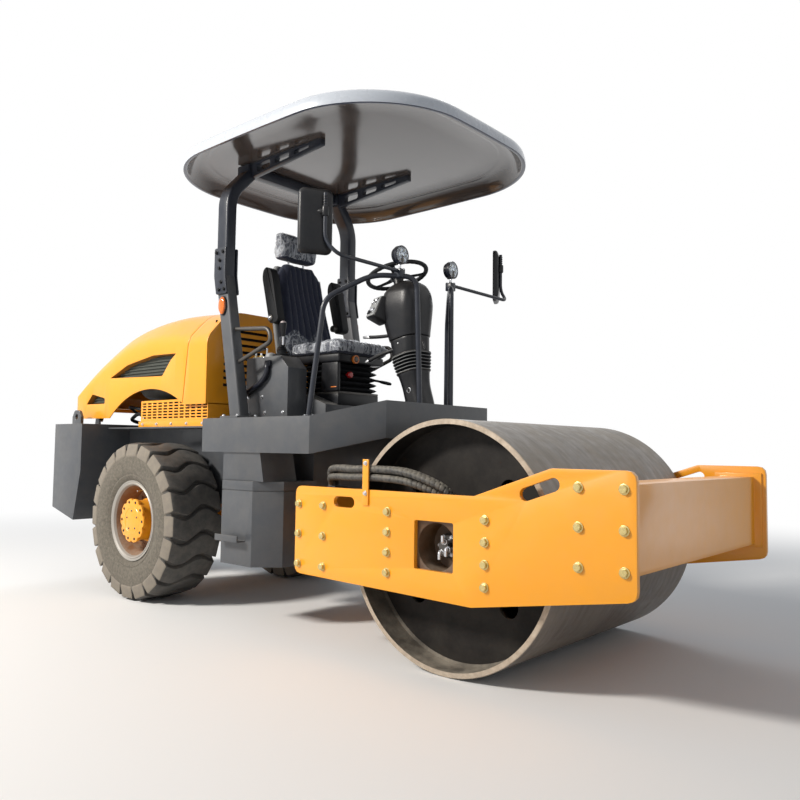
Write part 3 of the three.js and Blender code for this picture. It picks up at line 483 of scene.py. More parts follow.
def noise(tree, scale, detail=5.0, roughness=0.55, stretch=None):
    coordinates = tree.nodes.new("ShaderNodeTexCoord").outputs["Object"]
    if stretch:
        mapping = tree.nodes.new("ShaderNodeMapping")
        mapping.inputs["Scale"].default_value = stretch
        tree.links.new(coordinates, mapping.inputs["Vector"])
        coordinates = mapping.outputs["Vector"]
    node = tree.nodes.new("ShaderNodeTexNoise")
    node.inputs["Detail"].default_value = detail
    node.inputs["Roughness"].default_value = roughness
    tree.links.new(coordinates, node.inputs["Vector"])
    if isinstance(scale, (int, float)):
        node.inputs["Scale"].default_value = scale
    else:
        tree.links.new(scale, node.inputs["Scale"])
    return node.outputs["Fac"]


def build_mottle_group():
    """Slow changes of colour and gloss over a surface."""
    group, given, out = new_group(
        "Mottle",
        [("Colour", "NodeSocketColor", (0.5, 0.5, 0.5, 1)), ("Shift", "NodeSocketFloat", 0.15),
         ("Scale", "NodeSocketFloat", 6.0), ("Roughness", "NodeSocketFloat", 0.5),
         ("Roughness Shift", "NodeSocketFloat", 0.15)],
        [("Colour", "NodeSocketColor"), ("Roughness", "NodeSocketFloat")])
    cloud = noise(group, given["Scale"])
    centred = math_node(group, "SUBTRACT", cloud, 0.5)
    swing = math_node(group, "MULTIPLY", centred, given["Shift"])
    level = math_node(group, "ADD", math_node(group, "MULTIPLY", swing, 2.0), 1.0)
    group.links.new(greyed(group, given["Colour"], level), out["Colour"])
    fine = noise(group, math_node(group, "MULTIPLY", given["Scale"], 5.0))
    rough = math_node(group, "MULTIPLY", math_node(group, "SUBTRACT", fine, 0.5), given["Roughness Shift"])
    total = math_node(group, "ADD", math_node(group, "MULTIPLY", rough, 2.0), given["Roughness"], clamp=True)
    group.links.new(total, out["Roughness"])
    return group


def build_dust_group():
    """Dry dust that lies on upward faces and in patches."""
    group, given, out = new_group(
        "Settled Dust",
        [("Colour", "NodeSocketColor", (0.5, 0.5, 0.5, 1)), ("Roughness", "NodeSocketFloat", 0.5),
         ("Dust", "NodeSocketColor", (0.36, 0.32, 0.26, 1)), ("Flat", "NodeSocketFloat", 0.3),
         ("Patches", "NodeSocketFloat", 0.3), ("Scale", "NodeSocketFloat", 9.0)],
        [("Colour", "NodeSocketColor"), ("Roughness", "NodeSocketFloat"), ("Mask", "NodeSocketFloat")])
    geometry = group.nodes.new("ShaderNodeNewGeometry")
    parts = group.nodes.new("ShaderNodeSeparateXYZ")
    group.links.new(geometry.outputs["Normal"], parts.inputs[0])
    upward = math_node(group, "MAXIMUM", parts.outputs["Z"], 0.0)
    lying = math_node(group, "MULTIPLY", upward, given["Flat"])
    cloud = noise(group, given["Scale"], 8.0, 0.65)
    stepped = ranged(group, cloud, 0.38, 0.68)
    patches = math_node(group, "MULTIPLY", stepped, given["Patches"])
    spread = math_node(group, "MULTIPLY", lying, math_node(group, "ADD", stepped, 0.4))
    mask = math_node(group, "ADD", patches, spread, clamp=True)
    group.links.new(mask, out["Mask"])
    group.links.new(mixed(group, mask, given["Colour"], given["Dust"]), out["Colour"])
    rough = math_node(group, "ADD", given["Roughness"], math_node(group, "MULTIPLY", mask, 0.4), clamp=True)
    group.links.new(rough, out["Roughness"])
    return group


def build_grain_group():
    """Height of a fine moulded or sprayed grain."""
    group, given, out = new_group(
        "Grain", [("Scale", "NodeSocketFloat", 400.0), ("Depth", "NodeSocketFloat", 0.2)],
        [("Height", "NodeSocketFloat")])
    fine = noise(group, given["Scale"], 3.0)
    broad = noise(group, math_node(group, "MULTIPLY", given["Scale"], 0.04), 3.0)
    total = math_node(group, "ADD", fine, math_node(group, "MULTIPLY", broad, 1.5))
    group.links.new(math_node(group, "MULTIPLY", total, given["Depth"]), out["Height"])
    return group


def build_weave_group():
    """Height of a plain woven cloth, and its colour with painted light on the threads' crowns and painted
    shade between them.
    """
    group, given, out = new_group(
        "Weave", [("Colour", "NodeSocketColor", (0.5, 0.5, 0.5, 1)), ("Threads", "NodeSocketFloat", 500.0)],
        [("Colour", "NodeSocketColor"), ("Height", "NodeSocketFloat")])
    coordinates = group.nodes.new("ShaderNodeTexCoord").outputs["Object"]
    waves = []
    for direction in ("Y", "Z"):
        wave = group.nodes.new("ShaderNodeTexWave")
        wave.bands_direction = direction
        wave.inputs["Distortion"].default_value = 0.4
        group.links.new(coordinates, wave.inputs["Vector"])
        group.links.new(given["Threads"], wave.inputs["Scale"])
        waves.append(wave.outputs["Fac"])
    height = math_node(group, "MAXIMUM", waves[0], waves[1])
    group.links.new(height, out["Height"])
    # painted light and shade: the cloth lighter where the threads rise and darker in the hollows between them
    shade = math_node(group, "ADD", math_node(group, "MULTIPLY", height, 0.7), 0.55)
    group.links.new(greyed(group, given["Colour"], shade), out["Colour"])
    return group


def placed_group(tree, group, **values):
    node = tree.nodes.new("ShaderNodeGroup")
    node.node_tree = group
    for name, value in values.items():
        socket = node.inputs[name.replace("_", " ")]
        if isinstance(value, bpy.types.NodeSocket):
            tree.links.new(value, socket)
        elif isinstance(value, (tuple, list)):
            socket.default_value = (*value[:3], 1)
        else:
            socket.default_value = value
    return node.outputs


COAT_ROUGHNESS = 0.12
THREAD = 0.001  # depth of a grain or a thread, in metres


def finish(name, colour, roughness, metallic=0.0, coat=0.0, shift=0.1, scale=6.0, rough_shift=0.1, grain=None,
           dust=None, stretch=None, **sockets):
    """A finish of one colour that varies over the surface, with grain and dust where they are asked for."""
    material = bpy.data.materials.new(name)
    material.use_nodes = True
    tree = material.node_tree
    shader = tree.nodes["Principled BSDF"]
    shader.inputs["Metallic"].default_value = metallic
    shader.inputs["Coat Weight"].default_value = coat
    shader.inputs["Coat Roughness"].default_value = COAT_ROUGHNESS
    for label, value in sockets.items():
        shader.inputs[label.replace("_", " ")].default_value = value
    mottle = placed_group(
        tree, GROUPS["mottle"], Colour=tuple(colour), Shift=shift, Scale=scale, Roughness=roughness,
        Roughness_Shift=rough_shift)
    shade, rough = mottle["Colour"], mottle["Roughness"]
    if stretch:
        streak = noise(tree, 1.0, 6.0, 0.6, stretch)
        shade = greyed(tree, shade, ranged(tree, streak, 0.3, 0.7, 0.72, 1.2))
    if dust:
        settled_dust = placed_group(
            tree, GROUPS["dust"], Colour=shade, Roughness=rough, Dust=dust[0], Flat=dust[1], Patches=dust[2],
            Scale=dust[3])
        shade, rough = settled_dust["Colour"], settled_dust["Roughness"]
    tree.links.new(shade, shader.inputs["Base Color"])
    tree.links.new(rough, shader.inputs["Roughness"])
    if grain:
        height = placed_group(tree, GROUPS["grain"], Scale=grain[0], Depth=1.0)["Height"]
        bumped(tree, height, grain[1], grain[2] if len(grain) > 2 else THREAD)
    FINISHES[name] = material
    return material


def cloth_finish(name, colour, threads, roughness=0.85):
    material = finish(name, colour, roughness, shift=0.2, scale=12, Sheen_Weight=0.25, Sheen_Roughness=0.4)
    tree = material.node_tree
    shader = tree.nodes["Principled BSDF"]
    source = shader.inputs["Base Color"].links[0].from_socket
    weave = placed_group(tree, GROUPS["weave"], Colour=source, Threads=threads)
    tree.links.new(weave["Colour"], shader.inputs["Base Color"])
    bumped(tree, weave["Height"], 0.4, THREAD)
    return material


def film_finish(name, colour):
    """Thin clear film: all but unseen where it lies flat, white along its folds."""
    material = finish(name, colour, 0.2, shift=0.15, scale=20, rough_shift=0.1)
    tree = material.node_tree
    shader = tree.nodes["Principled BSDF"]
    folds = []
    for stretch in ((13.0, 13.0, 3.5), (6.0, 15.0, 9.0), (24.0, 24.0, 10.0)):
        value = noise(tree, 1.0, 2.0, 0.5, stretch)
        away = math_node(tree, "ABSOLUTE", math_node(tree, "SUBTRACT", value, 0.5))
        folds.append(math_node(tree, "POWER", ranged(tree, away, 0.0, 0.075, 1.0, 0.0), 1.6))
    crease = math_node(tree, "MAXIMUM", math_node(tree, "MAXIMUM", folds[0], folds[1]),
                       math_node(tree, "MULTIPLY", folds[2], 0.6))
    opaque = math_node(tree, "ADD", math_node(tree, "MULTIPLY", crease, 0.5), 0.1, clamp=True)
    tree.links.new(opaque, shader.inputs["Alpha"])
    bumped(tree, crease, 0.7, 0.006)
    return material


def build_finishes(colours):
    GROUPS["mottle"] = build_mottle_group()
    GROUPS["dust"] = build_dust_group()
    GROUPS["grain"] = build_grain_group()
    GROUPS["weave"] = build_weave_group()
    dust = tuple(colours.dust)
    finish("yellow_enamel", colours.yellow, 0.34, coat=0.35, shift=0.05, scale=2.5, grain=(90, 0.05),
           dust=(dust, 0.12, 0.03, 14))
    finish("grey_enamel", colours.grey, 0.42, coat=0.15, shift=0.16, scale=5, grain=(220, 0.08),
           dust=(dust, 0.22, 0.07, 7))
    finish("black_enamel", colours.black, 0.3, coat=0.05, Specular_IOR_Level=0.3, shift=0.2, scale=9,
           grain=(260, 0.06), dust=(dust, 0.1, 0.03, 9))
    finish("drum_steel", colours.steel, 0.44, metallic=0.55, shift=0.22, scale=4, rough_shift=0.2,
           grain=(60, 0.22, 0.002), dust=(dust, 0.1, 0.32, 5), stretch=(3.0, 26.0, 3.0))
    finish("drum_rim", (0.5, 0.42, 0.33), 0.6, metallic=0.25, shift=0.3, scale=22, grain=(120, 0.3, 0.002),
           dust=((0.2, 0.13, 0.08), 0.0, 0.35, 30))
    # painted shade: the drum's inside steel painted near black, with dust lying on its upward faces
    finish("drum_inside_painted_shade", (0.014, 0.012, 0.011), 0.6, Specular_IOR_Level=0.2, shift=0.3, scale=5,
           grain=(80, 0.2, 0.002), dust=(dust, 0.75, 0.05, 6))
    finish("tyre_rubber", colours.rubber, 0.72, shift=0.25, scale=18, grain=(300, 0.25, 0.001),
           dust=((0.17, 0.155, 0.135), 0.1, 0.5, 20))
    finish("tyre_sidewall", (0.11, 0.098, 0.08), 0.85, shift=0.45, scale=42, grain=(140, 0.6, 0.002),
           dust=((0.21, 0.19, 0.155), 0.1, 0.75, 60))
    finish("tyre_shoulder", (0.21, 0.185, 0.155), 0.85, shift=0.2, scale=14, grain=(150, 0.5, 0.0015),
           dust=((0.3, 0.265, 0.21), 0.1, 0.5, 22))
    finish("rim_silver", (0.36, 0.34, 0.31), 0.42, metallic=0.3, shift=0.12, scale=12, grain=(200, 0.06),
           dust=(dust, 0.2, 0.2, 16))
    finish("rim_primer", (0.2, 0.085, 0.028), 0.5, shift=0.3, scale=10, grain=(150, 0.1),
           dust=(dust, 0.3, 0.25, 14))
    finish("frame_enamel", (0.016, 0.021, 0.034), 0.32, coat=0.05, Specular_IOR_Level=0.35, shift=0.2,
           scale=9, grain=(260, 0.06), dust=(dust, 0.1, 0.03, 9))
    finish("bolt_black", (0.02, 0.021, 0.024), 0.3, metallic=0.6, shift=0.2, scale=80)
    # painted shade: the canopy's lower edge painted dark blue, as its shadow side looks
    finish("canopy_edge_painted_shade", (0.045, 0.055, 0.09), 0.3, coat=0.4, shift=0.1, scale=5)
    # painted shade: the hood's orange paint darkened to brown inside the recessed vent walls
    finish("vent_wall_painted_shade", (0.3, 0.13, 0.02), 0.5, shift=0.2, scale=12)
    # painted shade: the drum carriers' orange paint darkened to brown, as it looks in shade
    finish("carrier_painted_shade", (0.085, 0.04, 0.014), 0.45, shift=0.3, scale=9, grain=(120, 0.12),
           dust=(dust, 0.3, 0.12, 12))
    finish("vent_back", (0.055, 0.062, 0.05), 0.6, shift=0.3, scale=12)
    finish("engine_dark", (0.03, 0.03, 0.029), 0.5, shift=0.3, scale=9, grain=(120, 0.2),
           dust=(dust, 0.3, 0.15, 12))
    finish("yellow_zinc", (0.62, 0.5, 0.22), 0.3, metallic=0.9, shift=0.35, scale=120, rough_shift=0.2)
    finish("bright_zinc", (0.62, 0.63, 0.65), 0.28, metallic=0.95, shift=0.15, scale=90, rough_shift=0.15)
    finish("hose_wrap", (0.03, 0.029, 0.028), 0.5, shift=0.4, scale=40, grain=(300, 0.2),
           dust=((0.3, 0.27, 0.22), 0.55, 0.25, 30))
    finish("chrome_rod", (0.75, 0.76, 0.78), 0.08, metallic=1.0, shift=0.03, scale=30, rough_shift=0.05)
    finish("canopy_white", colours.canopy, 0.28, coat=0.5, shift=0.04, scale=2, grain=(14, 0.06, 0.002))
    finish("canopy_lining", (0.075, 0.06, 0.053), 0.15, coat=0.5, shift=0.18, scale=1.5,
           grain=(9, 0.12, 0.003))
    finish("shell_plastic", (0.3, 0.31, 0.315), 0.5, shift=0.08, scale=8, grain=(500, 0.25))
    finish("black_plastic", (0.008, 0.009, 0.012), 0.34, Specular_IOR_Level=0.3, shift=0.2, scale=14,
           grain=(520, 0.3), dust=(dust, 0.06, 0.02, 12))
    finish("soft_black", (0.009, 0.01, 0.012), 0.6, Specular_IOR_Level=0.25, shift=0.2, scale=20,
           grain=(350, 0.4))
    finish("dark_steel", (0.09, 0.085, 0.08), 0.45, metallic=0.7, shift=0.3, scale=20, grain=(200, 0.2))
    # painted shade in holes, slots and behind grilles and louvres, and the gauges' own black dial faces
    finish("painted_shade_and_black_dials", (0.012, 0.012, 0.013), 0.85, shift=0.3, scale=9, grain=(60, 0.2, 0.002))
    finish("amber_lens", (1.0, 0.2, 0.0), 0.12, coat=0.6, shift=0.05, scale=30, Transmission_Weight=0.25)
    finish("red_knob", (0.5, 0.01, 0.012), 0.3, coat=0.3, shift=0.05, scale=30)
    finish("orange_ring", (0.75, 0.2, 0.02), 0.35, coat=0.2, shift=0.05, scale=30)
    finish("pale_knob", (0.5, 0.42, 0.42), 0.35, coat=0.3, shift=0.1, scale=40)
    finish("mirror_glass", (0.86, 0.88, 0.9), 0.03, metallic=1.0, shift=0.01, scale=3, rough_shift=0.01)
    finish("lamp_reflector", (0.85, 0.87, 0.9), 0.12, metallic=1.0, shift=0.05, scale=60)
    finish("lamp_glass", (0.9, 0.95, 1.0), 0.05, shift=0.02, scale=20, Transmission_Weight=0.9, IOR=1.45)
    finish("lamp_chip", (0.85, 0.8, 0.5), 0.3, shift=0.05, scale=50)
    film_finish("clear_film", (0.78, 0.82, 0.88))
    cloth_finish("seat_cloth", colours.cloth, 260)


# ---------------------------------------------------------------- small fasteners
def hex_bolt(name, radius, material, washer=True):
    """A hex head with its chamfer on a washer, made along +Z from its seat."""
    thick = radius * 0.22 if washer else 0.0
    head = bar(name, (0, 0, thick), (0, 0, thick + radius * 0.75), radius, sides=6)
    crown = bar(name + "_crown", (0, 0, thick + radius * 0.74), (0, 0, thick + radius * 0.86), radius * 0.94,
                sides=24, tip=radius * 0.78)
    parts = [dressed(head, material), dressed(crown, material)]
    if washer:
        parts.append(dressed(bar(name + "_washer", (0, 0, 0), (0, 0, thick), radius * 1.28, sides=24,
                                 edge=thick * 0.25), material))
    return joined(name, parts)


def round_bolt(name, radius, material):
    """A domed screw head made along +Z from its seat."""
    profile = [(0, 0), (radius, 0), (radius * 0.95, radius * 0.3), (radius * 0.6, radius * 0.6),
               (0, radius * 0.66)]
    return dressed(turned(name, profile, (0, 0, 0), 16, (0, 0, 1)), material)


# ---------------------------------------------------------------- front frame
def build_front_frame(sizes):
    yellow = "yellow_enamel"
    for side, sign in SIDES.items():
        node = "side_plate_" + side
        plate = refined(node, yellow, sizes.plate_edge)
        present(plate, "front_frame", [node])
        low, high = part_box(node)
        face = low.y if sign < 0 else high.y
        columns = [(-0.926, (0.752, 0.593, 0.434)), (-0.738, (0.752, 0.593, 0.434)),
                   (0.739, (0.91, 0.751, 0.592)), (0.934, (0.91, 0.751, 0.592)),
                   (-0.287, (0.7475, 0.65, 0.5525, 0.455)), (0.287, (0.7475, 0.65, 0.5525, 0.455))]
        places = []
        for offset, heights in columns:
            for k, height in enumerate(heights):
                place = (DRUM_AXLE.x + offset, face, height)
                places.append(facing(place, (0, sign, 0), 0.37 * k + offset))
        model = hex_bolt("bolt", sizes.bolt_head, "yellow_zinc")
        present(scattered("plate_bolts_" + side, model, places), "front_frame")
        # the carriers take painted shade: their orange paint darkened to brown
        carrier = refined("drum_carrier_" + side, "carrier_painted_shade", 0.003)
        present(carrier, "front_frame", ["drum_carrier_" + side])
    for node in ("front_beam", "rear_beam"):
        present(refined(node, yellow, 0.003), "front_frame", [node])
    bracket = refined("hose_bracket", yellow, 0.0015)
    low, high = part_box("hose_bracket")
    places = [facing(((low.x + high.x) / 2, low.y, z), (0, -1, 0)) for z in (low.z + 0.06, high.z - 0.02)]
    bolts = scattered("bracket_bolts", hex_bolt("bolt", 0.009, "bright_zinc"), places)
    present(joined("hose_bracket_finish", [bolts, bracket]), "front_frame", ["hose_bracket"])


def build_drum(sizes):
    low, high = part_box("drum")
    radius, half = (high.z - low.z) / 2, high.y
    wall, inset, head = 0.025, 0.142, 0.02
    bore = radius - wall
    inner = half - inset - head
    chamfer = 0.003
    shell = turned(
        "drum_shell", [(bore, -half), (radius - chamfer, -half), (radius, -half + chamfer),
                       (radius, half - chamfer), (radius - chamfer, half), (bore, half)], DRUM_AXLE,
                   sizes.drum_steps, closed=True)
    dressed(shell, "drum_steel", "drum_rim", "drum_inside_painted_shade")
    for face in shell.data.polygons:
        if abs(face.normal.y) > 0.5:
            face.material_index = 1
    # the faces inside the bore take the near-black painted shade of the drum's inside
    for face in shell.data.polygons:
        away = math.hypot(face.center.x - DRUM_AXLE.x, face.center.z - DRUM_AXLE.z)
        if away < bore + 0.001:
            face.material_index = 2
    present(shell, "drum", ["drum"], 30)
    parts = []
    bore -= 0.0003
    for sign in (-1, 1):
        disc = [(0.0605, sign * inner), (bore, sign * inner), (bore, sign * (inner + head)),
                (0.0605, sign * (inner + head))]
        plate = turned("head", disc, DRUM_AXLE, 96, closed=True)
        holes = []
        for k in range(4):
            angle = math.pi / 4 + k * math.pi / 2
            x = DRUM_AXLE.x + 0.38 * math.cos(angle)
            z = DRUM_AXLE.z + 0.38 * math.sin(angle)
            holes.append(bar("hole", (x, sign * (inner - 0.05), z), (x, sign * (inner + 0.1), z), 0.05, 32))
        parts.append(dressed(cut(plate, *holes), "drum_inside_painted_shade"))
        fillet = [(bore, sign * (inner + head)), (bore - 0.012, sign * (inner + head + 0.001)),
                  (bore, sign * (inner + head + 0.012))]
        parts.append(dressed(turned("weld", fillet, DRUM_AXLE, 96, closed=True), "drum_inside_painted_shade"))
    parts.append(dressed(turned("hub_tube", [(0.11, -inner), (0.11, inner)], DRUM_AXLE, 48), "drum_inside_painted_shade"))
    present(joined("drum_discs", parts), "drum", ["drum_heads"], 30)


def hose_route(strand):
    """Where a strand's middle line runs: two strands lie below, two above, each pair side by side."""
    rise = 0.042 * (strand >> 1)
    out = 0.038 * (strand % 2)
    x = DRUM_AXLE.x
    return [
        (x - 0.78, -0.703 - out, 0.847), (x - 0.778, -0.708 - out, 0.868),
        (x - 0.735, -0.748 - out, 0.9 + rise), (x - 0.56, -0.783 - out, 0.905 + rise),
        (x - 0.38, -0.785 - out, 0.908 + rise), (x - 0.19, -0.783 - out, 0.896 + rise),
        (x - 0.05 + rise, -0.763 - out * 0.6, 0.85 + rise * 0.6), (x + 0.015 + rise, -0.738 - out * 0.4, 0.8),
    ]


def build_hoses(sizes):
    radius = 0.0185
    parts = []
    for strand in range(4):
        path = spline_points(hose_route(strand), 280)
        travelled = [0.0]
        for here, there in zip(path, path[1:]):
            travelled.append(travelled[-1] + (there - here).length)

        def wrap(k, angle):
            turn = travelled[k] / sizes.hose_pitch - angle / math.tau
            return radius - 0.0035 * max(0.0, math.cos(turn * math.tau)) ** 6

        parts.append(dressed(swept("strand", path, wrap), "hose_wrap"))
    foot = block("foot", (DRUM_AXLE.x - 0.799, -0.76, 0.8283), (DRUM_AXLE.x - 0.74, -0.66, 0.8503))
    head = block("head", (DRUM_AXLE.x - 0.02, -0.815, 0.7903), (DRUM_AXLE.x + 0.09, -0.725, 0.8123))
    parts += [dressed(foot, "black_enamel"), dressed(head, "black_enamel")]
    present(joined("drum_hoses_wrapped", parts), "front_frame", ["drum_hoses"], 40)


# ---------------------------------------------------------------- wheels
def tyre_lug(height, radius, half, pitch):
    """One zigzag lug with its shoulder blocks, at the top of a tyre whose axle is the Y axis."""
    base = radius - height
    rows = []
    shoulder = half - 0.004
    for k in range(15):
        share = -1 + k / 7
        if share < -0.5:
            shift = 0.034 - 0.03 * (0.5 - 0.5 * math.cos((share + 0.5) / 0.5 * math.pi))
        elif share < 0.24:
            shift = 0.034 * math.cos((share + 0.5) / 0.74 * math.pi)
        else:
            shift = -0.034 + 0.05 * (0.5 - 0.5 * math.cos((share - 0.24) / 0.76 * math.pi))
        rows.append([share * shoulder, shift])
    rows = [[-shoulder, rows[0][1]], *rows, [shoulder, rows[-1][1]]]
    points = []
    last = len(rows) - 1
    for k, (y, shift) in enumerate(rows):
        deep = k in (0, last)
        crown = radius - 0.014 * (y / half) ** 4
        top = crown - 0.075 if deep else crown
        foot = base - 0.085 if deep else base - 0.012
        wide = pitch * (0.37 if abs(y) > half * 0.55 else 0.385)
        if deep:
            y = math.copysign(half - 0.001, y)
        elif k in (1, last - 1):
            y = math.copysign(half - 0.016, y)
        for side in (-1, 1):
            points.append((shift + side * (wide + 0.008), y * (0.93 if deep else 1.0), foot))
            points.append((shift + side * wide, y, top))
    faces = []
    for k in range(last):
        a, b = k * 4, (k + 1) * 4
        faces += [(a, b, b + 1, a + 1), (a + 1, b + 1, b + 3, a + 3), (a + 3, b + 3, b + 2, a + 2),
                  (a + 2, b + 2, b, a)]
    faces += [(0, 1, 3, 2), (last * 4, last * 4 + 2, last * 4 + 3, last * 4 + 1)]
    lug = cleaned(from_points("lug", points, faces))
    return bevelled(lug, 0.004, 2, 32)


def build_tyres(sizes):
    node = "tyre_right"
    low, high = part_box(node)
    radius, half = (high.z - low.z) / 2, (high.y - low.y) / 2
    bead = 0.26
    base = radius - sizes.lug_height
    profile = [
        (bead, half - 0.043), (bead + 0.018, half - 0.036), (bead + 0.03, half - 0.022),
        (bead + 0.05, half - 0.014), (bead + 0.058, half - 0.016), (bead + 0.075, half - 0.007),
        (bead + 0.12, half - 0.002), (bead + 0.165, half - 0.003), (base - 0.045, half - 0.008),
        (base - 0.012, half - 0.024), (base, half - 0.055), (base + 0.002, 0.0)]
    full = profile + [(r, -y) for r, y in reversed(profile[:-1])]
    pitch = math.tau * radius / sizes.lug_count
    for side, sign in SIDES.items():
        axle = Vector(JOINTS["wheel_spin_" + side]["pos_m"])
        carcass = turned("carcass", full, (0, 0, 0), 110, closed=True)
        dressed(carcass, "tyre_rubber", "tyre_sidewall", "tyre_shoulder")
        for face in carcass.data.polygons:
            away = math.hypot(face.center.x, face.center.z)
            if away < base - 0.03:
                face.material_index = 1
        turns = [Matrix.Rotation(math.tau * k / sizes.lug_count, 4, "Y") for k in range(sizes.lug_count)]
        lug = tyre_lug(sizes.lug_height, radius - 0.003, half, pitch)
        lugs = scattered("lugs", dressed(lug, "tyre_rubber", "tyre_shoulder"), turns)
        for face in lugs.data.polygons:
            if abs(face.normal.y) > 0.55 and abs(face.center.y) > half * 0.8:
                face.material_index = 1
        tyre = joined("tyre_treaded_" + side, [lugs, carcass])
        place = Matrix.Translation(axle)
        tyre.data.transform(place if sign < 0 else place @ Matrix.Rotation(math.pi, 4, "Z"))
        present(tyre, "wheel_" + side, ["tyre_" + side], 32)


def star_flange(name, lobes, radius, low, high):
    """A round flange with scalloped edges between its bolts, made along +Z."""
    count = lobes * 12
    outline = []
    for k in range(count):
        angle = math.tau * k / count
        dip = max(0.0, -math.cos(angle * lobes)) ** 2
        reach = radius * (1 - 0.09 * dip)
        outline.append((reach * math.cos(angle), reach * math.sin(angle)))
    return slab(name, outline, low, high, "XY", 0.0, 0.003)


def build_rims():
    low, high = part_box("tyre_right")
    half = (high.y - low.y) / 2
    outer = half - 0.028
    seat = 0.2585
    rim = [
        (seat + 0.016, outer), (seat + 0.0165, outer - 0.006), (seat + 0.012, outer - 0.013),
        (seat, outer - 0.015), (seat - 0.03, half - 0.11), (seat - 0.03, -half + 0.11),
        (seat, -outer + 0.015), (seat + 0.015, -outer + 0.013), (seat + 0.016, -outer),
        (seat - 0.012, -outer), (seat - 0.044, -half + 0.1), (seat - 0.044, 0.02), (seat - 0.044, half - 0.1),
        (seat - 0.02, outer - 0.02), (seat - 0.012, outer - 0.004), (seat - 0.004, outer),
        (seat + 0.002, outer - 0.004), (seat + 0.008, outer)]
    dish = [(0.1505, 0.024), (seat - 0.043, 0.024), (seat - 0.043, 0.04), (seat - 0.07, 0.04), (0.18, 0.033),
            (0.1505, 0.033)]
    for side, sign in SIDES.items():
        axle = Vector(JOINTS["wheel_spin_" + side]["pos_m"])
        outward = (0, sign, 0)
        barrel = dressed(turned("barrel", rim, axle, 96, outward, closed=True), "rim_silver",
                         "rim_primer")
        for face in barrel.data.polygons:
            away = math.hypot(face.center.x - axle.x, face.center.z - axle.z)
            if away < seat - 0.03:
                face.material_index = 1
        disc = dressed(turned("disc", dish, axle, 96, outward, closed=True), "rim_primer")
        nuts = []
        for k in range(10):
            angle = math.tau * (k + 0.5) / 10
            place = axle + Vector((0.182 * math.cos(angle), sign * 0.033, 0.182 * math.sin(angle)))
            nuts.append(facing(place, outward, angle))
        fixing = scattered("wheel_nuts", hex_bolt("nut", 0.013, "rim_primer"), nuts)
        valve = bar("valve", axle + Vector((0.0, sign * 0.09, seat - 0.05)),
                    axle + Vector((0.0, sign * 0.14, seat - 0.058)), 0.005, 12)
        piece = joined("rim_finish_" + side, [fixing, dressed(valve, "bright_zinc"), disc, barrel])
        present(piece, "wheel_" + side, ["rim_" + side], 35)
        build_hub(side, sign, axle)


def build_hub(side, sign, axle):
    yellow = "yellow_enamel"
    bore = 0.071
    profile = [
        (bore, -0.19), (0.15, -0.19), (0.15, 0.056), (0.146, 0.06), (0.138, 0.064), (0.136, 0.07),
        (0.136, 0.156), (0.0, 0.156), (0.0, -0.04), (bore, -0.04)]
    drum = dressed(turned("hub", profile, axle, 64, (0, sign, 0), closed=True), yellow)
    place = facing(axle, (0, sign, 0))
    flange = star_flange("flange", 10, 0.1505, 0.155, 0.1755)
    flange.data.transform(place)
    bolts = []
    for k in range(10):
        angle = math.tau * k / 10
        bolts.append(place @ Matrix.Translation((0.129 * math.cos(angle), 0.129 * math.sin(angle), 0.1755))
                     @ Matrix.Scale(-0.4, 4, (0, 0, 1)))
    # dark discs at the bolt holes: painted shade in the holes
    dark = scattered("hub_bolts", bar("hole", (0, 0, -0.004), (0, 0, 0.0015), 0.0095, 12), bolts)
    inner = []
    for k in range(5):
        angle = math.tau * (k + 0.3) / 5
        inner.append(place @ Matrix.Translation((0.066 * math.cos(angle), 0.066 * math.sin(angle), 0.1755)))
    small = scattered("hub_screws", round_bolt("screw", 0.007, "dark_steel"), inner)
    ring = dressed(turned("ring", [(0.086, 0.1755), (0.088, 0.177), (0.094, 0.177), (0.096, 0.1755)], axle,
                          48, (0, sign, 0), closed=True), yellow)
    piece = joined("wheel_hub_finish_" + side,
                   [dressed(dark, "painted_shade_and_black_dials"), small, ring, dressed(flange, yellow), drum])
    present(piece, "wheel_" + side, ["wheel_hub_" + side], 30)


# ---------------------------------------------------------------- rollover frame and canopy
def rounded_ring(centre, half_x, half_y, corner, steps=6):
    """A level ring: a rectangle with round corners."""
    corner = min(corner, half_x * 0.98, half_y * 0.98)
    ring = []
    for sx, sy, start in ((1, 1, 0), (-1, 1, 90), (-1, -1, 180), (1, -1, 270)):
        for step in range(steps + 1):
            angle = math.radians(start + 90 * step / steps)
            ring.append(Vector((
                centre[0] + sx * (half_x - corner) + corner * math.cos(angle),
                centre[1] + sy * (half_y - corner) + corner * math.sin(angle), centre[2])))
    return ring


def box_tube(name, path, wide, deep, radius=0.012):
    """A rectangular tube along a path square to X or leaning in X: wide along X, deep across it."""
    outline = rounded_ring((0, 0, 0), wide / 2, deep / 2, radius, 3)
    rings = []
    for k, here in enumerate(path):
        ahead = (path[min(k + 1, len(path) - 1)] - path[max(k - 1, 0)]).normalized()
        across = Vector((1, 0, 0)) - ahead * ahead.x
        across.normalize()
        side = ahead.cross(across)
        level = k in (0, len(path) - 1) and abs(ahead.y) < 0.01
        if level:
            across, side = Vector((1 / max(abs(ahead.z), 0.5), 0, 0)), Vector((0, 1, 0))
        rings.append([here + across * point.x + side * point.y for point in outline])
    return lofted(name, rings)


POST = {"x": -0.517, "bend": 2.19, "foot": -0.327, "deck": 1.23, "y": 0.576, "top": 2.78}


def on_post(height):
    """X of the leaning post's middle at a height over the platform."""
    return POST["foot"] + (POST["x"] - POST["foot"]) * height / (POST["bend"] - POST["deck"])


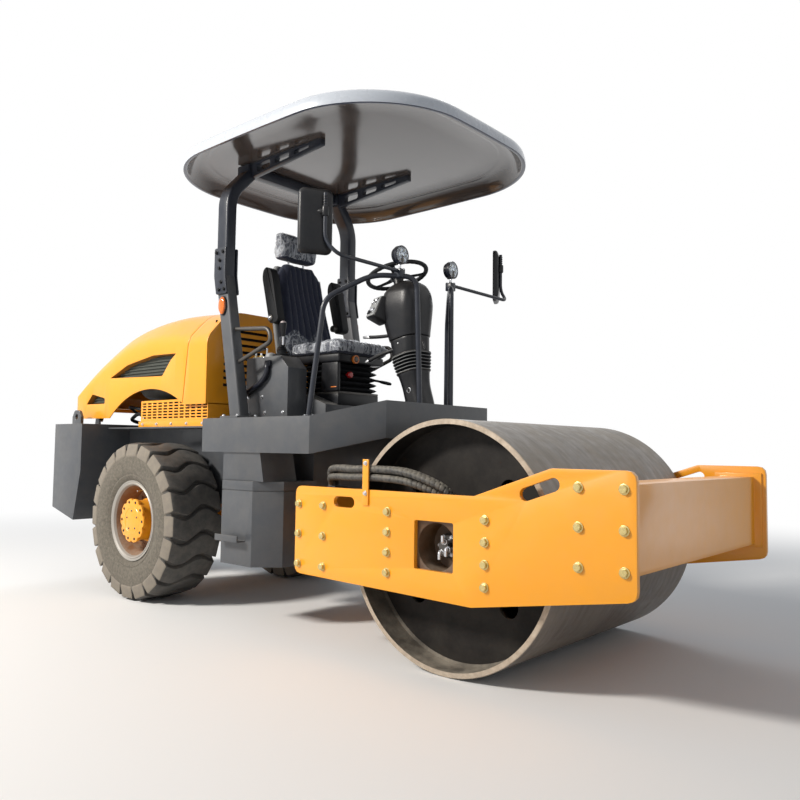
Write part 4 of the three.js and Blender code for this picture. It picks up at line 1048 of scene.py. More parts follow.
def build_posts():
    grey = "grey_enamel"
    for side, sign in SIDES.items():
        y = sign * POST["y"]
        tube_path = [Vector((POST["foot"], y, POST["deck"] + 0.005)), Vector((POST["x"], y, POST["bend"]))]
        parts = [dressed(box_tube("post", tube_path, 0.11, 0.08), grey)]
        foot = block("foot", (POST["foot"] - 0.09, y - 0.09, POST["deck"] + 0.0003),
                     (POST["foot"] + 0.09, y + 0.09, POST["deck"] + 0.02), 0.003)
        parts.append(dressed(foot, grey))
        corners = [facing((POST["foot"] + dx * 0.072, y + dy * 0.072, POST["deck"] + 0.02), (0, 0, 1), dx)
                   for dx in (-1, 1) for dy in (-1, 1)]
        parts.append(scattered("foot_bolts", hex_bolt("bolt", 0.011, "bright_zinc"), corners))
        grab = bent([(on_post(0.6), y, POST["deck"] + 0.6), (-0.052, y, POST["deck"] + 0.57),
                     (-0.027, y, POST["deck"] + 0.485), (on_post(0.36), y, POST["deck"] + 0.36)], 0.06)
        parts.insert(0, dressed(tube("grab", grab, 0.014), "dark_steel"))
        present(joined("lower_post_finish_" + side, parts), "rear_frame",
                ["lower_post_" + side])
        build_marker(side, sign)


def build_marker(side, sign):
    face = sign * (POST["y"] + 0.04 + 0.0003)
    place = facing((on_post(0.755), face, POST["deck"] + 0.755), (0, sign, 0))
    shell = []
    for scale, depth in ((1.0, 0.0), (1.0, 0.008), (0.94, 0.011)):
        shell.append([Vector((0.038 * scale * math.cos(t), 0.065 * scale * math.sin(t), depth))
                      for t in (math.tau * k / 40 for k in range(40))])
    lens = []
    for scale, depth in ((0.9, 0.009), (0.9, 0.014), (0.8, 0.021), (0.55, 0.0245), (0.05, 0.026)):
        lens.append([Vector((0.038 * scale * math.cos(t), 0.065 * scale * math.sin(t), depth))
                     for t in (math.tau * k / 40 for k in range(40))])
    base = dressed(lofted("base", shell), "black_plastic")
    glass = dressed(lofted("lens", lens), "amber_lens")
    piece = joined("marker_lamp_finish_" + side, [base, glass])
    turn = Matrix.Rotation(math.radians(90), 4, "Z")
    upright = place @ turn if abs((place.to_3x3() @ Vector((0, 1, 0))).z) < 0.5 else place
    piece.data.transform(upright)
    present(piece, "rear_frame", ["marker_lamp_" + side], 40)


ARM_Y = 0.42
ARM_TOP = 2.9957
CANOPY_HALF = 0.92


def build_upper_frame():
    black = "frame_enamel"
    parts = []
    cross_z = ARM_TOP - 0.02
    bolts = []
    for sign in SIDES.values():
        y = sign * POST["y"]
        path = bent([(POST["x"], y, POST["bend"] + 0.0003), (POST["x"], y, POST["top"] - 0.03),
                     (POST["x"] + 0.02, sign * ARM_Y, cross_z - 0.045)], 0.09)
        parts.append(dressed(box_tube("post", path, 0.11, 0.08, 0.014), black))
        for face in (-1, 1):
            at = y + face * 0.046
            outline = [(-0.033, -0.125), (0.083, -0.125), (0.06, 0), (0.06, 0.19), (-0.06, 0.19), (-0.06, 0)]
            outline = [(POST["x"] + x, POST["bend"] + z) for x, z in outline]
            plate = slab("splice", outline, at - 0.0055, at + 0.0055, "XZ", 0.012, 0.0015)
            parts.append(dressed(plate, black))
            for x, z in ((0.0, -0.095), (0.055, -0.095), (0.02, -0.045), (0.0, 0.05), (0.0, 0.105),
                         (-0.035, 0.16), (0.035, 0.16)):
                place = (POST["x"] + x, at + face * 0.0055, POST["bend"] + z)
                bolts.append(facing(place, (0, face, 0), x * 40 + z * 9))
        arm = [(-0.04, -0.09), (0.76, -0.02), (0.76, 0.02), (-0.04, 0.02)]
        arm = [(POST["x"] + x, cross_z + z) for x, z in arm]
        low, high = sign * ARM_Y - 0.02, sign * ARM_Y + 0.02
        beam = slab("arm", arm, low, high, "XZ", 0.006, 0.0)
        holes = []
        for i in range(3):
            x = POST["x"] + 0.13 + i * 0.19
            foot = cross_z - 0.058 + i * 0.016
            slot = [(x, foot), (x + 0.14, foot + 0.01), (x + 0.14, cross_z + 0.002), (x, cross_z + 0.002)]
            holes.append(slab("slot", slot, low - 0.02, high + 0.02, "XZ", 0.016 - i * 0.004, 0.0))
        parts.append(dressed(bevelled(cut(beam, *holes), 0.002), black))
        parts.append(dressed(block("gusset", (POST["x"] - 0.05, sign * 0.38, cross_z - 0.06),
                                   (POST["x"] + 0.07, sign * 0.465, cross_z + 0.012), 0.006), black))
    path = [Vector((POST["x"] + 0.01, -ARM_Y, cross_z - 0.015)),
            Vector((POST["x"] + 0.01, ARM_Y, cross_z - 0.015))]
    section = rounded_ring((0, 0, 0), 0.04, 0.035, 0.012, 3)
    rings = [[place + Vector((point.x, 0, point.y)) for point in section] for place in path]
    parts.append(dressed(lofted("cross", rings), black))
    parts.insert(0, scattered("frame_bolts", hex_bolt("bolt", 0.011, "bolt_black"), bolts))
    present(joined("upper_frame_finish", parts), "rear_frame", ["upper_frame"])


def canopy_ring(scale, z):
    """A rectangle with round corners and bowed sides, grown or shrunk by the scale."""
    low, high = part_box("canopy")
    middle = (low.x + high.x) / 2
    bow, corner = 0.035, 0.61
    a, b = (high.x - low.x) / 2 / (1 + bow), CANOPY_HALF / (1 + bow)
    flat = []
    for quarter, sx, sy in ((0, 1, 1), (1, -1, 1), (2, -1, -1), (3, 1, -1)):
        for i in range(21):
            angle = (quarter + i / 20) * math.pi / 2
            flat.append((sx * (a - corner) + corner * math.cos(angle),
                         sy * (b - corner) + corner * math.sin(angle)))
        x, y = flat[-1]
        for k in range(1, 8):
            if quarter in (0, 2):
                flat.append((x * (1 - k / 4), y))
            else:
                flat.append((x, y * (1 - k / 4)))
    ring = []
    for x, y in flat:
        wide = scale * (1 + bow * (1 - (y / b) ** 2))
        long = scale * (1 + bow * (1 - (x / a) ** 2))
        ring.append(Vector((middle + x * wide, y * long, z)))
    return ring


def build_canopy():
    low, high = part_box("canopy")
    base, top = low.z, high.z
    outer = [(0.02, 0), (0.5, -0.0003), (0.8, -0.0012), (0.9, -0.003), (0.93, -0.0065), (0.953, -0.0125),
             (0.97, -0.0205), (0.982, -0.0305), (0.99, -0.042), (0.995, -0.055), (0.998, -0.07),
             (0.9995, -0.085), (1.0, -0.097), (0.999, -0.1035), (0.995, -0.105)]
    inner = [(0.986, -0.105), (0.979, -0.1035), (0.975, -0.098), (0.97, -0.088), (0.96, -0.07),
             (0.944, -0.05), (0.925, -0.034), (0.895, -0.023), (0.865, -0.0195), (0.855, -0.0188),
             (0.848, -0.0165), (0.84, -0.0148), (0.7, -0.0143), (0.3, -0.0143), (0.02, -0.0143)]
    rings = [canopy_ring(scale, top + drop) for scale, drop in outer + inner]
    piece = dressed(lofted("canopy_shell", rings), "canopy_white", "canopy_lining",
                    "canopy_edge_painted_shade")
    for face in piece.data.polygons:
        if face.normal.z < -0.2 and face.center.z > base + 0.003:
            face.material_index = 1
        # the canopy's lower edge takes the dark blue painted shade
        elif face.center.z < base + 0.004:
            face.material_index = 2
    present(piece, "rear_frame", ["canopy"], 50)


# ---------------------------------------------------------------- hood
HOOD_FRONT = -0.674
DECK = 1.23
CREST = [(0, 0.77), (-0.183, 0.782), (-0.483, 0.79), (-0.833, 0.76), (-1.103, 0.695), (-1.433, 0.535),
         (-1.613, 0.39), (-1.802, 0.223)]
CREASE = [(0, 0.567), (-0.203, 0.574), (-0.628, 0.602), (-1.075, 0.554), (-1.366, 0.449), (-1.571, 0.355),
          (-1.802, 0.221)]


def smooth_height(line, x):
    """Height of a line of points at x, along a smooth curve."""
    i = max(1, next((k for k, (far, _) in enumerate(line) if far <= x + 1e-9), len(line) - 1))
    (x0, z0), (x1, z1) = line[i - 1], line[i]
    before = line[max(i - 2, 0)]
    after = line[min(i + 1, len(line) - 1)]
    t = (x - x0) / (x1 - x0)
    slope0 = (z1 - before[1]) / (x1 - before[0]) * (x1 - x0)
    slope1 = (after[1] - z0) / (after[0] - x0) * (x1 - x0)
    return ((2 * t ** 3 - 3 * t ** 2 + 1) * z0 + (t ** 3 - 2 * t ** 2 + t) * slope0
            + (3 * t ** 2 - 2 * t ** 3) * z1
            + (t ** 3 - t ** 2) * slope1)


def rounded_corner(before, corner, after, reach, steps):
    back = (before - corner)
    on = (after - corner)
    reach = min(reach, back.length * 0.48, on.length * 0.48)
    start, end = corner + back.normalized() * reach, corner + on.normalized() * reach
    return [start * (1 - t) ** 2 + corner * 2 * t * (1 - t) + end * t * t
            for t in (i / steps for i in range(steps + 1))]


def hood_section(x, inset=0.0):
    top = DECK + smooth_height(CREST, x) - inset
    shoulder = DECK + smooth_height(CREASE, x) - inset * 0.4
    half = 0.6 - inset
    flat = half - max(top - shoulder, 0.012) * 0.88
    at = HOOD_FRONT + x
    low = Vector((at, -half, 1.1))
    side = Vector((at, -half, shoulder))
    crown = Vector((at, -flat, top))
    middle = Vector((at, 0, top))
    right = [low] + rounded_corner(low, side, crown, 0.055, 6) + rounded_corner(side, crown, middle, 0.13, 8)
    left = [Vector((point.x, -point.y, point.z)) for point in reversed(right)]
    return right + left


def hood_solid(inset, front, tail, steps=44):
    rings = [hood_section(front + (tail - front) * k / steps, inset) for k in range(steps + 1)]
    return lofted("hood_form", rings)


def arc_through(a, b, c, count):
    (ax, az), (bx, bz), (cx, cz) = a, b, c
    d = 2 * (ax * (bz - cz) + bx * (cz - az) + cx * (az - bz))
    squares = [x * x + z * z for x, z in (a, b, c)]
    x = (squares[0] * (bz - cz) + squares[1] * (cz - az) + squares[2] * (az - bz)) / d
    z = (squares[0] * (cx - bx) + squares[1] * (ax - cx) + squares[2] * (bx - ax)) / d
    radius = math.hypot(ax - x, az - z)
    start, end = math.atan2(az - z, ax - x), math.atan2(cz - z, cx - x)
    return [(x + radius * math.cos(start + (end - start) * i / count),
             z + radius * math.sin(start + (end - start) * i / count)) for i in range(count + 1)]


SIDE_VENTS = [
    [(-1.283, 0.346), (-1.027, 0.436), (-0.67, 0.486), (-0.369, 0.48), (-0.439, 0.436), (-0.542, 0.326)],
    [(-1.648, 0.15), (-1.556, 0.23), (-1.356, 0.192), (-1.356, 0.148)],
]
SEAM_TOP = (HOOD_FRONT - 0.17, DECK + 0.97)
SEAM_FOOT = (HOOD_FRONT - 0.278, DECK + 0.124)


def kept_inside(piece, keeper):
    apply_modifier(piece, "BOOLEAN", operation="INTERSECT", object=keeper, solver="EXACT")
    bpy.data.objects.remove(keeper)
    return piece


def build_hood():
    yellow = "yellow_enamel"
    tail = -1.802
    shell = hood_solid(0, 0.0, tail)
    core = hood_solid(0.008, 0.05, tail + 0.012)
    cut(shell, core)
    arch = arc_through((HOOD_FRONT - 1.276, DECK + 0.032), (HOOD_FRONT - 0.625, DECK + 0.235), SEAM_FOOT, 28)
    back = HOOD_FRONT + tail
    side = [(back - 0.05, 3.0), (back - 0.05, DECK + 0.111), (back, DECK + 0.111),
            (back + 0.101, DECK + 0.035), *arch, SEAM_TOP, (SEAM_TOP[0] - 0.005, 3.0)]
    kept_inside(shell, slab("keeper", side, -0.9, 0.9, "XZ", 0.0, 0.0))
    holes, frames = [], []
    for outline in SIDE_VENTS:
        places = [(HOOD_FRONT + x, DECK + z) for x, z in outline]
        holes.append(slab("vent", places, -0.9, 0.9, "XZ", 0.012, 0.0))
        for sign in (-1, 1):
            frames += vent_frame(places, sign)
    cut(shell, *holes)
    cleaned(shell, 1e-4)
    bevelled(shell, 0.0018, 2, 40)
    dressed(shell, yellow)
    straps = []
    for sign in (-1, 1):
        y = sign * 0.42
        hinge = Vector((-2.419, y, 1.268))
        ear = [(-0.022, -0.022), (0.022, -0.022), (0.06, 0.062), (0.03, 0.115), (-0.025, 0.1), (-0.03, 0.062)]
        plate = slab("strap", [(hinge.x + x, hinge.z + z) for x, z in ear], y - 0.006, y + 0.006, "XZ", 0.008,
                     0.0)
        hole = bar("hole", hinge - Vector((0, 0.02, 0)), hinge + Vector((0, 0.02, 0)), 0.0125, 24)
        straps.append(dressed(bevelled(cut(plate, hole), 0.001), yellow))
    tie = dressed(block("tie", (back + 0.012, -0.426, 1.36), (-2.359, 0.426, 1.366), 0.001), yellow)
    piece = joined("hood_panel", [tie, *straps, *frames, shell])
    present(piece, "hood", ["hood"], 32)


VENT_FACE = 0.598
VENT_DEPTH = 0.55
VENT_PITCH = 0.024


def vent_frame(places, sign):
    """The recessed walls of a side vent and the ribbed panel at its back."""
    face, depth = sign * VENT_FACE, sign * VENT_DEPTH
    rounded = []
    corners = [Vector((x, 0, z)) for x, z in places]
    for i, corner in enumerate(corners):
        rounded += rounded_corner(corners[i - 1], corner, corners[(i + 1) % len(corners)], 0.014, 5)
    centre = sum(rounded, Vector()) / len(rounded)
    outer = [Vector((p.x, face, p.z)) for p in rounded]
    deep = [Vector((centre.x + (p.x - centre.x) * 0.965, depth,
                    centre.z + (p.z - centre.z) * 0.93)) for p in rounded]
    walls = lofted("walls", [outer, deep], caps=False)
    apply_modifier(walls, "SOLIDIFY", thickness=0.0025, offset=0)
    # the recessed walls take painted shade: the hood's paint darkened to brown
    dressed(walls, "vent_wall_painted_shade")
    panel_outline = [(p.x, p.z) for p in deep]
    panel = slab("panel", panel_outline, min(depth, depth - sign * 0.004), max(depth, depth - sign * 0.004),
                 "XZ", 0, 0)
    dressed(panel, "vent_back")
    parts = [panel, walls]
    low_z, high_z = min(p.z for p in deep), max(p.z for p in deep)
    low_x, high_x = min(p.x for p in deep), max(p.x for p in deep)
    bars = []
    z = low_z + 0.012
    while z < high_z:
        rib = block("rib", (low_x, min(depth, depth + sign * 0.012), z),
                    (high_x, max(depth, depth + sign * 0.012), z + 0.006), 0.0)
        bars.append(rib)
        z += VENT_PITCH
    ribs = joined("ribs", bars)
    kept_inside(ribs, slab("keeper", panel_outline, min(depth, depth + sign * 0.02) - 0.001,
                           max(depth, depth + sign * 0.02) + 0.001, "XZ", 0, 0))
    if len(ribs.data.polygons):
        parts.insert(0, dressed(ribs, "vent_back"))
    return parts


def build_hood_front():
    yellow = "yellow_enamel"
    shell = hood_solid(0, 0.0, -0.4, 14)
    core = hood_solid(0.008, -0.008, -0.45, 14)
    cut(shell, core)
    low = SEAM_FOOT[1] - 0.012
    side = [(SEAM_FOOT[0] + 0.006, low), (HOOD_FRONT + 0.05, low), (HOOD_FRONT + 0.05, SEAM_TOP[1]),
            (SEAM_TOP[0] + 0.006, SEAM_TOP[1])]
    kept_inside(shell, slab("keeper", side, -0.9, 0.9, "XZ", 0.0, 0.0))
    louvres = []
    for column in (-0.27, 0.27):
        for row in range(9):
            z = 1.47 + row * 0.048
            louvres.append(block("louvre", (HOOD_FRONT - 0.03, column - 0.19, z),
                                 (HOOD_FRONT + 0.03, column + 0.19, z + 0.02), 0.0))
    cut(shell, joined("louvres", louvres))
    cleaned(shell, 1e-4)
    bevelled(shell, 0.0018, 2, 40)
    foot = block("foot", (HOOD_FRONT - 0.008, -0.58, 1.1903), (HOOD_FRONT, 0.58, 1.35), 0.001)
    # a dark sheet behind the louvres: painted shade seen through them
    painted_shade_backing = block("painted_shade_backing", (HOOD_FRONT - 0.05, -0.5, 1.45), (HOOD_FRONT - 0.045, 0.5, 1.93), 0.0)
    piece = joined("hood_bulkhead", [dressed(painted_shade_backing, "painted_shade_and_black_dials"), dressed(foot, yellow),
                                     dressed(shell, yellow)])
    present(piece, "rear_frame", ["hood_front"], 32)


def build_grilles():
    for side, sign in SIDES.items():
        low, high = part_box("side_grille_" + side)
        plate = block("plate", low, high, 0.0)
        tools = []
        columns, rows = 12, 6
        pitch = 0.07
        for i in range(columns):
            for k in range(rows):
                x = low.x + 0.02 + i * pitch
                z = DECK + 0.022 + k * 0.021
                tools.append(block("slot", (x, low.y - 0.01, z), (x + 0.052, high.y + 0.01, z + 0.011), 0.0))
        cut(plate, joined("slots", tools))
        dressed(bevelled(plate, 0.0012, 1, 40), "yellow_enamel")
        outer = low.y if sign < 0 else high.y
        flange = block("flange", (low.x, min(outer, outer + sign * 0.018), low.z),
                       (high.x, max(outer, outer + sign * 0.018), low.z + 0.04), 0.002)
        places = [facing((low.x + 0.06 + k * 0.19, outer + sign * 0.018, low.z + 0.02), (0, sign, 0), k)
                  for k in range(5)]
        bolts = scattered("flange_bolts", hex_bolt("bolt", 0.009, "bright_zinc"), places)
        # a dark sheet behind the slots: painted shade seen through the grille
        inner = sign * 0.545
        dark = block("dark", (low.x + 0.01, min(inner, inner + sign * 0.004), low.z + 0.02),
                     (high.x - 0.01, max(inner, inner + sign * 0.004), high.z), 0.0)
        piece = joined("side_grille_finish_" + side, [bolts, dressed(dark, "painted_shade_and_black_dials"),
                                                      dressed(flange, "yellow_enamel"), plate])
        present(piece, "rear_frame", ["side_grille_" + side])


def build_engine():
    """Covers, filter and pipes that show when the hood is open."""
    dark, steel = "engine_dark", "dark_steel"
    parts = [refined("engine_block", dark, 0.012)]
    parts.append(dressed(block("head", (-1.86, -0.17, 1.17), (-1.2, 0.1, 1.42), 0.02, 3), dark))
    parts.append(dressed(block("cover", (-1.82, -0.13, 1.42), (-1.24, 0.06, 1.5), 0.025, 3), steel))
    parts.append(dressed(bar("filter", (-1.75, -0.36, 1.52), (-1.3, -0.36, 1.5), 0.105, 40, 0.012), dark))
    parts.append(dressed(bar("filter_cap", (-1.79, -0.36, 1.522), (-1.75, -0.36, 1.52), 0.085, 40, 0.008),
                         dark))
    parts.append(dressed(bar("silencer", (-1.7, 0.33, 1.5), (-1.15, 0.33, 1.5), 0.11, 40, 0.015), steel))
    parts.append(dressed(block("cooler", (-1.06, -0.5, 1.2), (-0.97, 0.5, 1.82), 0.01), dark))
    for path, radius in (
            ([(-1.3, -0.36, 1.5), (-1.15, -0.36, 1.5), (-1.15, -0.2, 1.45), (-1.15, -0.05, 1.4)], 0.038),
            ([(-1.06, -0.42, 1.3), (-1.25, -0.44, 1.28), (-1.45, -0.3, 1.3), (-1.6, -0.2, 1.27)], 0.026),
            ([(-1.9, -0.2, 1.2), (-1.95, -0.42, 1.25), (-1.7, -0.5, 1.3), (-1.4, -0.48, 1.26),
              (-1.1, -0.5, 1.22)], 0.014),
            ([(-1.95, 0.1, 1.2), (-2.02, -0.3, 1.3), (-1.85, -0.5, 1.36), (-1.6, -0.5, 1.32)], 0.011)):
        parts.append(dressed(tube("pipe", bent(path, 0.08), radius), "soft_black"))
    for k in range(5):
        x = -1.8 + k * 0.12
        parts.append(dressed(bar("injector", (x, -0.2, 1.3), (x, -0.24, 1.4), 0.014, 12, 0.002), steel))
    present(joined("engine_dressed", parts), "rear_frame", ["engine_block"], 35)


# ---------------------------------------------------------------- platform and rear frame
def build_rear_frame():
    grey = "grey_enamel"
    for node, edge in (("deck", 0.005), ("step_box_right", 0.004), ("step_box_left", 0.004),
                       ("chassis", 0.003), ("counterweight", 0.007), ("rear_axle", 0.004)):
        paint = "yellow_enamel" if node == "rear_axle" else grey
        present(refined(node, paint, edge, 3), "rear_frame", [node])


# ---------------------------------------------------------------- driver's seat
SEAT_X = -0.005
SEAT_TOP = 1.76


AIR_FRAMES = 20
COVER_VOXEL = 0.007
FILM_VOXEL = 0.0055


def inflated(piece, voxel, cap, pressure=4.0):
    """Swells a closed cover by a cloth simulation with air pressure, no point further than the cap."""
    apply_modifier(piece, "REMESH", mode="VOXEL", voxel_size=voxel)
    before = [vertex.co.copy() for vertex in piece.data.vertices]
    pick(piece)
    bpy.ops.object.modifier_add(type="CLOTH")
    cloth = piece.modifiers[-1]
    cloth.settings.use_pressure = True
    cloth.settings.uniform_pressure_force = pressure
    cloth.settings.effector_weights.gravity = 0
    for number in range(1, AIR_FRAMES + 1):
        bpy.context.scene.frame_set(number)
    bpy.ops.object.modifier_apply(modifier=cloth.name)
    for vertex, start in zip(piece.data.vertices, before):
        moved = vertex.co - start
        if moved.length > cap:
            vertex.co = start + moved.normalized() * cap
    bpy.context.scene.frame_set(1)
    apply_modifier(piece, "SMOOTH", factor=0.5, iterations=3)
    return apply_modifier(piece, "SUBSURF", levels=1, render_levels=1)


def creased(piece, depth):
    """Moves each point along its normal by depth(place, normal)."""
    normals = [vertex.normal.copy() for vertex in piece.data.vertices]
    for vertex, normal in zip(piece.data.vertices, normals):
        vertex.co += normal * depth(vertex.co, normal)
    return piece


def crinkle(place, scale, seed):
    """Sharp folds of thin film, from 0 to 1."""
    low = fractal_noise.noise(place * scale + Vector((seed, 0, 0)))
    fine = fractal_noise.noise(place * scale * 2.7 + Vector((0, seed, 0)))
    return (1 - abs(low)) ** 6 * 0.7 + (1 - abs(fine)) ** 8 * 0.3


def film_over(pad, name, stand_off, scale, seed, kept):
    """Crinkled clear film over a pad, where kept(place) is true."""
    film = copied(pad, name)
    apply_modifier(film, "REMESH", mode="VOXEL", voxel_size=FILM_VOXEL)
    apply_modifier(film, "SMOOTH", factor=0.5, iterations=4)
    creased(film, lambda place, normal: stand_off + 0.005 * crinkle(place * Vector((1, 1, 0.4)), scale * 0.6,
                                                                    seed)
            + 0.004 * fractal_noise.noise(place * 9 + Vector((seed, seed, 0))))
    apply_modifier(film, "SMOOTH", factor=0.5, iterations=2)
    pick(film)
    bpy.ops.object.mode_set(mode="EDIT")
    bpy.ops.mesh.select_all(action="DESELECT")
    bpy.ops.object.mode_set(mode="OBJECT")
    for face in film.data.polygons:
        face.select = not kept(face.center)
    bpy.ops.object.mode_set(mode="EDIT")
    bpy.ops.mesh.delete(type="FACE")
    bpy.ops.object.mode_set(mode="OBJECT")
    return dressed(film, "clear_film")


def seat_slab(name, outline, half, radius, edge):
    points = [(SEAT_X + x, SEAT_TOP + z) for x, z in outline]
    piece = slab(name, points, -half, half, "XZ", radius, 0.0)
    return bevelled(piece, edge, 4, 40)


def build_cushion():
    outline = [(-0.232, -0.088), (0.222, -0.088), (0.252, -0.045), (0.222, -0.010), (-0.232, -0.022)]
    pad = seat_slab("cushion", outline, 0.238, 0.016, 0.02)
    inflated(pad, COVER_VOXEL, 0.01)
    low = SEAT_TOP - 0.0935

    def channel(place, normal):
        across = min(abs(abs(place.y) - 0.15), abs(place.x - 0.12) * 1.2, abs(place.x + 0.05) * 1.2)
        sewn = math.exp(-(across / 0.009) ** 2) if normal.z > 0.4 else 0.0
        piping = math.exp(-((place.z - SEAT_TOP + 0.038) / 0.006) ** 2)
        return -0.007 * sewn + 0.0025 * piping

    creased(pad, channel)
    for vertex in pad.data.vertices:
        vertex.co.z = max(vertex.co.z, low)
    film = film_over(pad, "cushion_film", 0.0035, 15, 3.0, lambda place: place.z > low + 0.012)
    dressed(pad, "seat_cloth")
    present(pad, "rear_frame", ["seat_cushion"], 60)
    present(film, "rear_frame", (), 40)


def build_seat_back():
    """The backrest's pleated pad, its moulded shell and the adjuster on its side."""
    foot, crest = SEAT_TOP - 0.085, SEAT_TOP + 0.6
    rings = []
    for k in range(25):
        t = k / 24
        z = foot + (crest - foot) * t
        middle = SEAT_X - 0.292 - 0.155 * t - 0.02 * math.sin(math.pi * t)
        thick = 0.052 - 0.016 * t
        half = 0.242 - 0.012 * math.sin(math.pi * t) - 0.05 * max(0.0, t - 0.55) / 0.45
        if t > 0.82:
            half -= 0.055 * ((t - 0.82) / 0.18) ** 2
        if t < 0.1:
            half -= 0.03 * (1 - t / 0.1) ** 2
        ring = rounded_ring((middle, 0, z), thick, half, 0.042, 5)
        rings.append(ring)
    pad = inflated(bevelled(lofted("seat_pad", rings), 0.015, 3, 50), COVER_VOXEL, 0.012)

    def pleat(place, normal):
        if normal.x < 0.15:
            return 0.0
        height = (place.z - foot) / (crest - foot)
        spread = place.y * (1 + 0.25 * height) + 0.012 * math.sin(place.z * 9 + place.y * 6)
        fold = abs(math.sin(spread * math.pi / 0.058))
        drawn = 0.5 + 0.5 * fractal_noise.noise(Vector((place.y * 9, 0, place.z * 3)))
        return 0.011 * (fold ** 0.6 - 0.7) * (0.45 + 0.8 * drawn) * min(1.0, normal.x * 1.5)

    creased(pad, pleat)
    dressed(pad, "seat_cloth")
    present(pad, "rear_frame", ["seat_back"], 60)
    film = film_over(pad, "seat_back_film", 0.004, 16, 8.0,
                     lambda place: place.z < SEAT_TOP + 0.075 + 0.03 * math.sin(place.y * 31))
    present(film, "rear_frame", (), 40)
    shell_rings = []
    for k in range(13):
        t = k / 12
        z = foot - 0.01 + (crest - foot - 0.005) * t
        middle = SEAT_X - 0.365 - 0.147 * t - 0.012 * math.sin(math.pi * t)
        half = 0.236 - 0.03 * t - (0.05 * ((t - 0.8) / 0.2) ** 2 if t > 0.8 else 0.0)
        shell_rings.append(rounded_ring((middle, 0, z), 0.02, half, 0.019, 4))
    shell = dressed(bevelled(lofted("shell", shell_rings), 0.006, 2, 50), "shell_plastic")
    parts = []
    for sign in (-1, 1):
        y = sign * 0.213
        for i in range(3):
            z = SEAT_TOP + 0.39 + i * 0.042
            x = SEAT_X - 0.433 - i * 0.0105
            # dark blocks for the adjuster slots: painted shade in the slots
            parts.append(dressed(block("slot", (x - 0.012, y - 0.0045, z), (x + 0.012, y + 0.0045, z + 0.024),
                                       0.003), "painted_shade_and_black_dials"))
        outline = [(SEAT_X - 0.452, SEAT_TOP + 0.37), (SEAT_X - 0.402, SEAT_TOP + 0.375),
                   (SEAT_X - 0.437, SEAT_TOP + 0.53), (SEAT_X - 0.482, SEAT_TOP + 0.525)]
        plate = slab("adjuster", outline, y - 0.003, y + 0.003, "XZ", 0.01, 0.001)
        parts.append(dressed(plate, "bright_zinc"))
        hinge = bar("hinge", (SEAT_X - 0.315, sign * 0.20, SEAT_TOP - 0.045),
                    (SEAT_X - 0.315, sign * 0.262, SEAT_TOP - 0.045), 0.03, 32, 0.004)
        parts.append(dressed(hinge, "dark_steel"))
    present(joined("seat_shell", [*parts, shell]), "rear_frame", (), 40)


def build_headrest():
    outline = [(-0.42, 0.632), (-0.404, 0.715), (-0.446, 0.82), (-0.518, 0.83), (-0.542, 0.69),
               (-0.516, 0.632)]
    pad = inflated(seat_slab("headrest_pad", outline, 0.154, 0.02, 0.024), 0.006, 0.008)
    dressed(pad, "seat_cloth")
    film = film_over(pad, "headrest_film", 0.003, 17, 5.0, lambda place: place.z > SEAT_TOP + 0.645)
    stems = []
    for y in (-0.07, 0.07):
        stem = bar("stem", (SEAT_X - 0.462, y, SEAT_TOP + 0.56), (SEAT_X - 0.47, y, SEAT_TOP + 0.66), 0.007,
                   16)
        stems.append(dressed(stem, "bright_zinc"))
    present(pad, "rear_frame", ["headrest"], 60)
    present(film, "rear_frame", (), 40)
    present(joined("headrest_stems", stems), "rear_frame", (), 40)


def build_armrests():
    outline = [(-0.335, 0.125), (-0.245, 0.14), (-0.318, 0.455), (-0.35, 0.52), (-0.405, 0.525),
               (-0.425, 0.465)]
    for side, sign in SIDES.items():
        pad = seat_slab("armrest_pad_" + side, outline, 0.0305, 0.03, 0.014)
        pad.data.transform(Matrix.Translation((0, sign * 0.3075, 0)))
        dressed(pad, "soft_black")
        pivot = bar("pivot", (SEAT_X - 0.325, sign * 0.24, SEAT_TOP + 0.165),
                    (SEAT_X - 0.325, sign * 0.345, SEAT_TOP + 0.165), 0.024, 32, 0.004)
        screw = placed(hex_bolt("screw", 0.01, "bright_zinc"),
                       facing((SEAT_X - 0.325, sign * 0.345, SEAT_TOP + 0.165), (0, sign, 0)))
        piece = joined("armrest_finish_" + side, [screw, dressed(pivot, "dark_steel"), pad])
        present(piece, "rear_frame", ["armrest_" + side], 50)


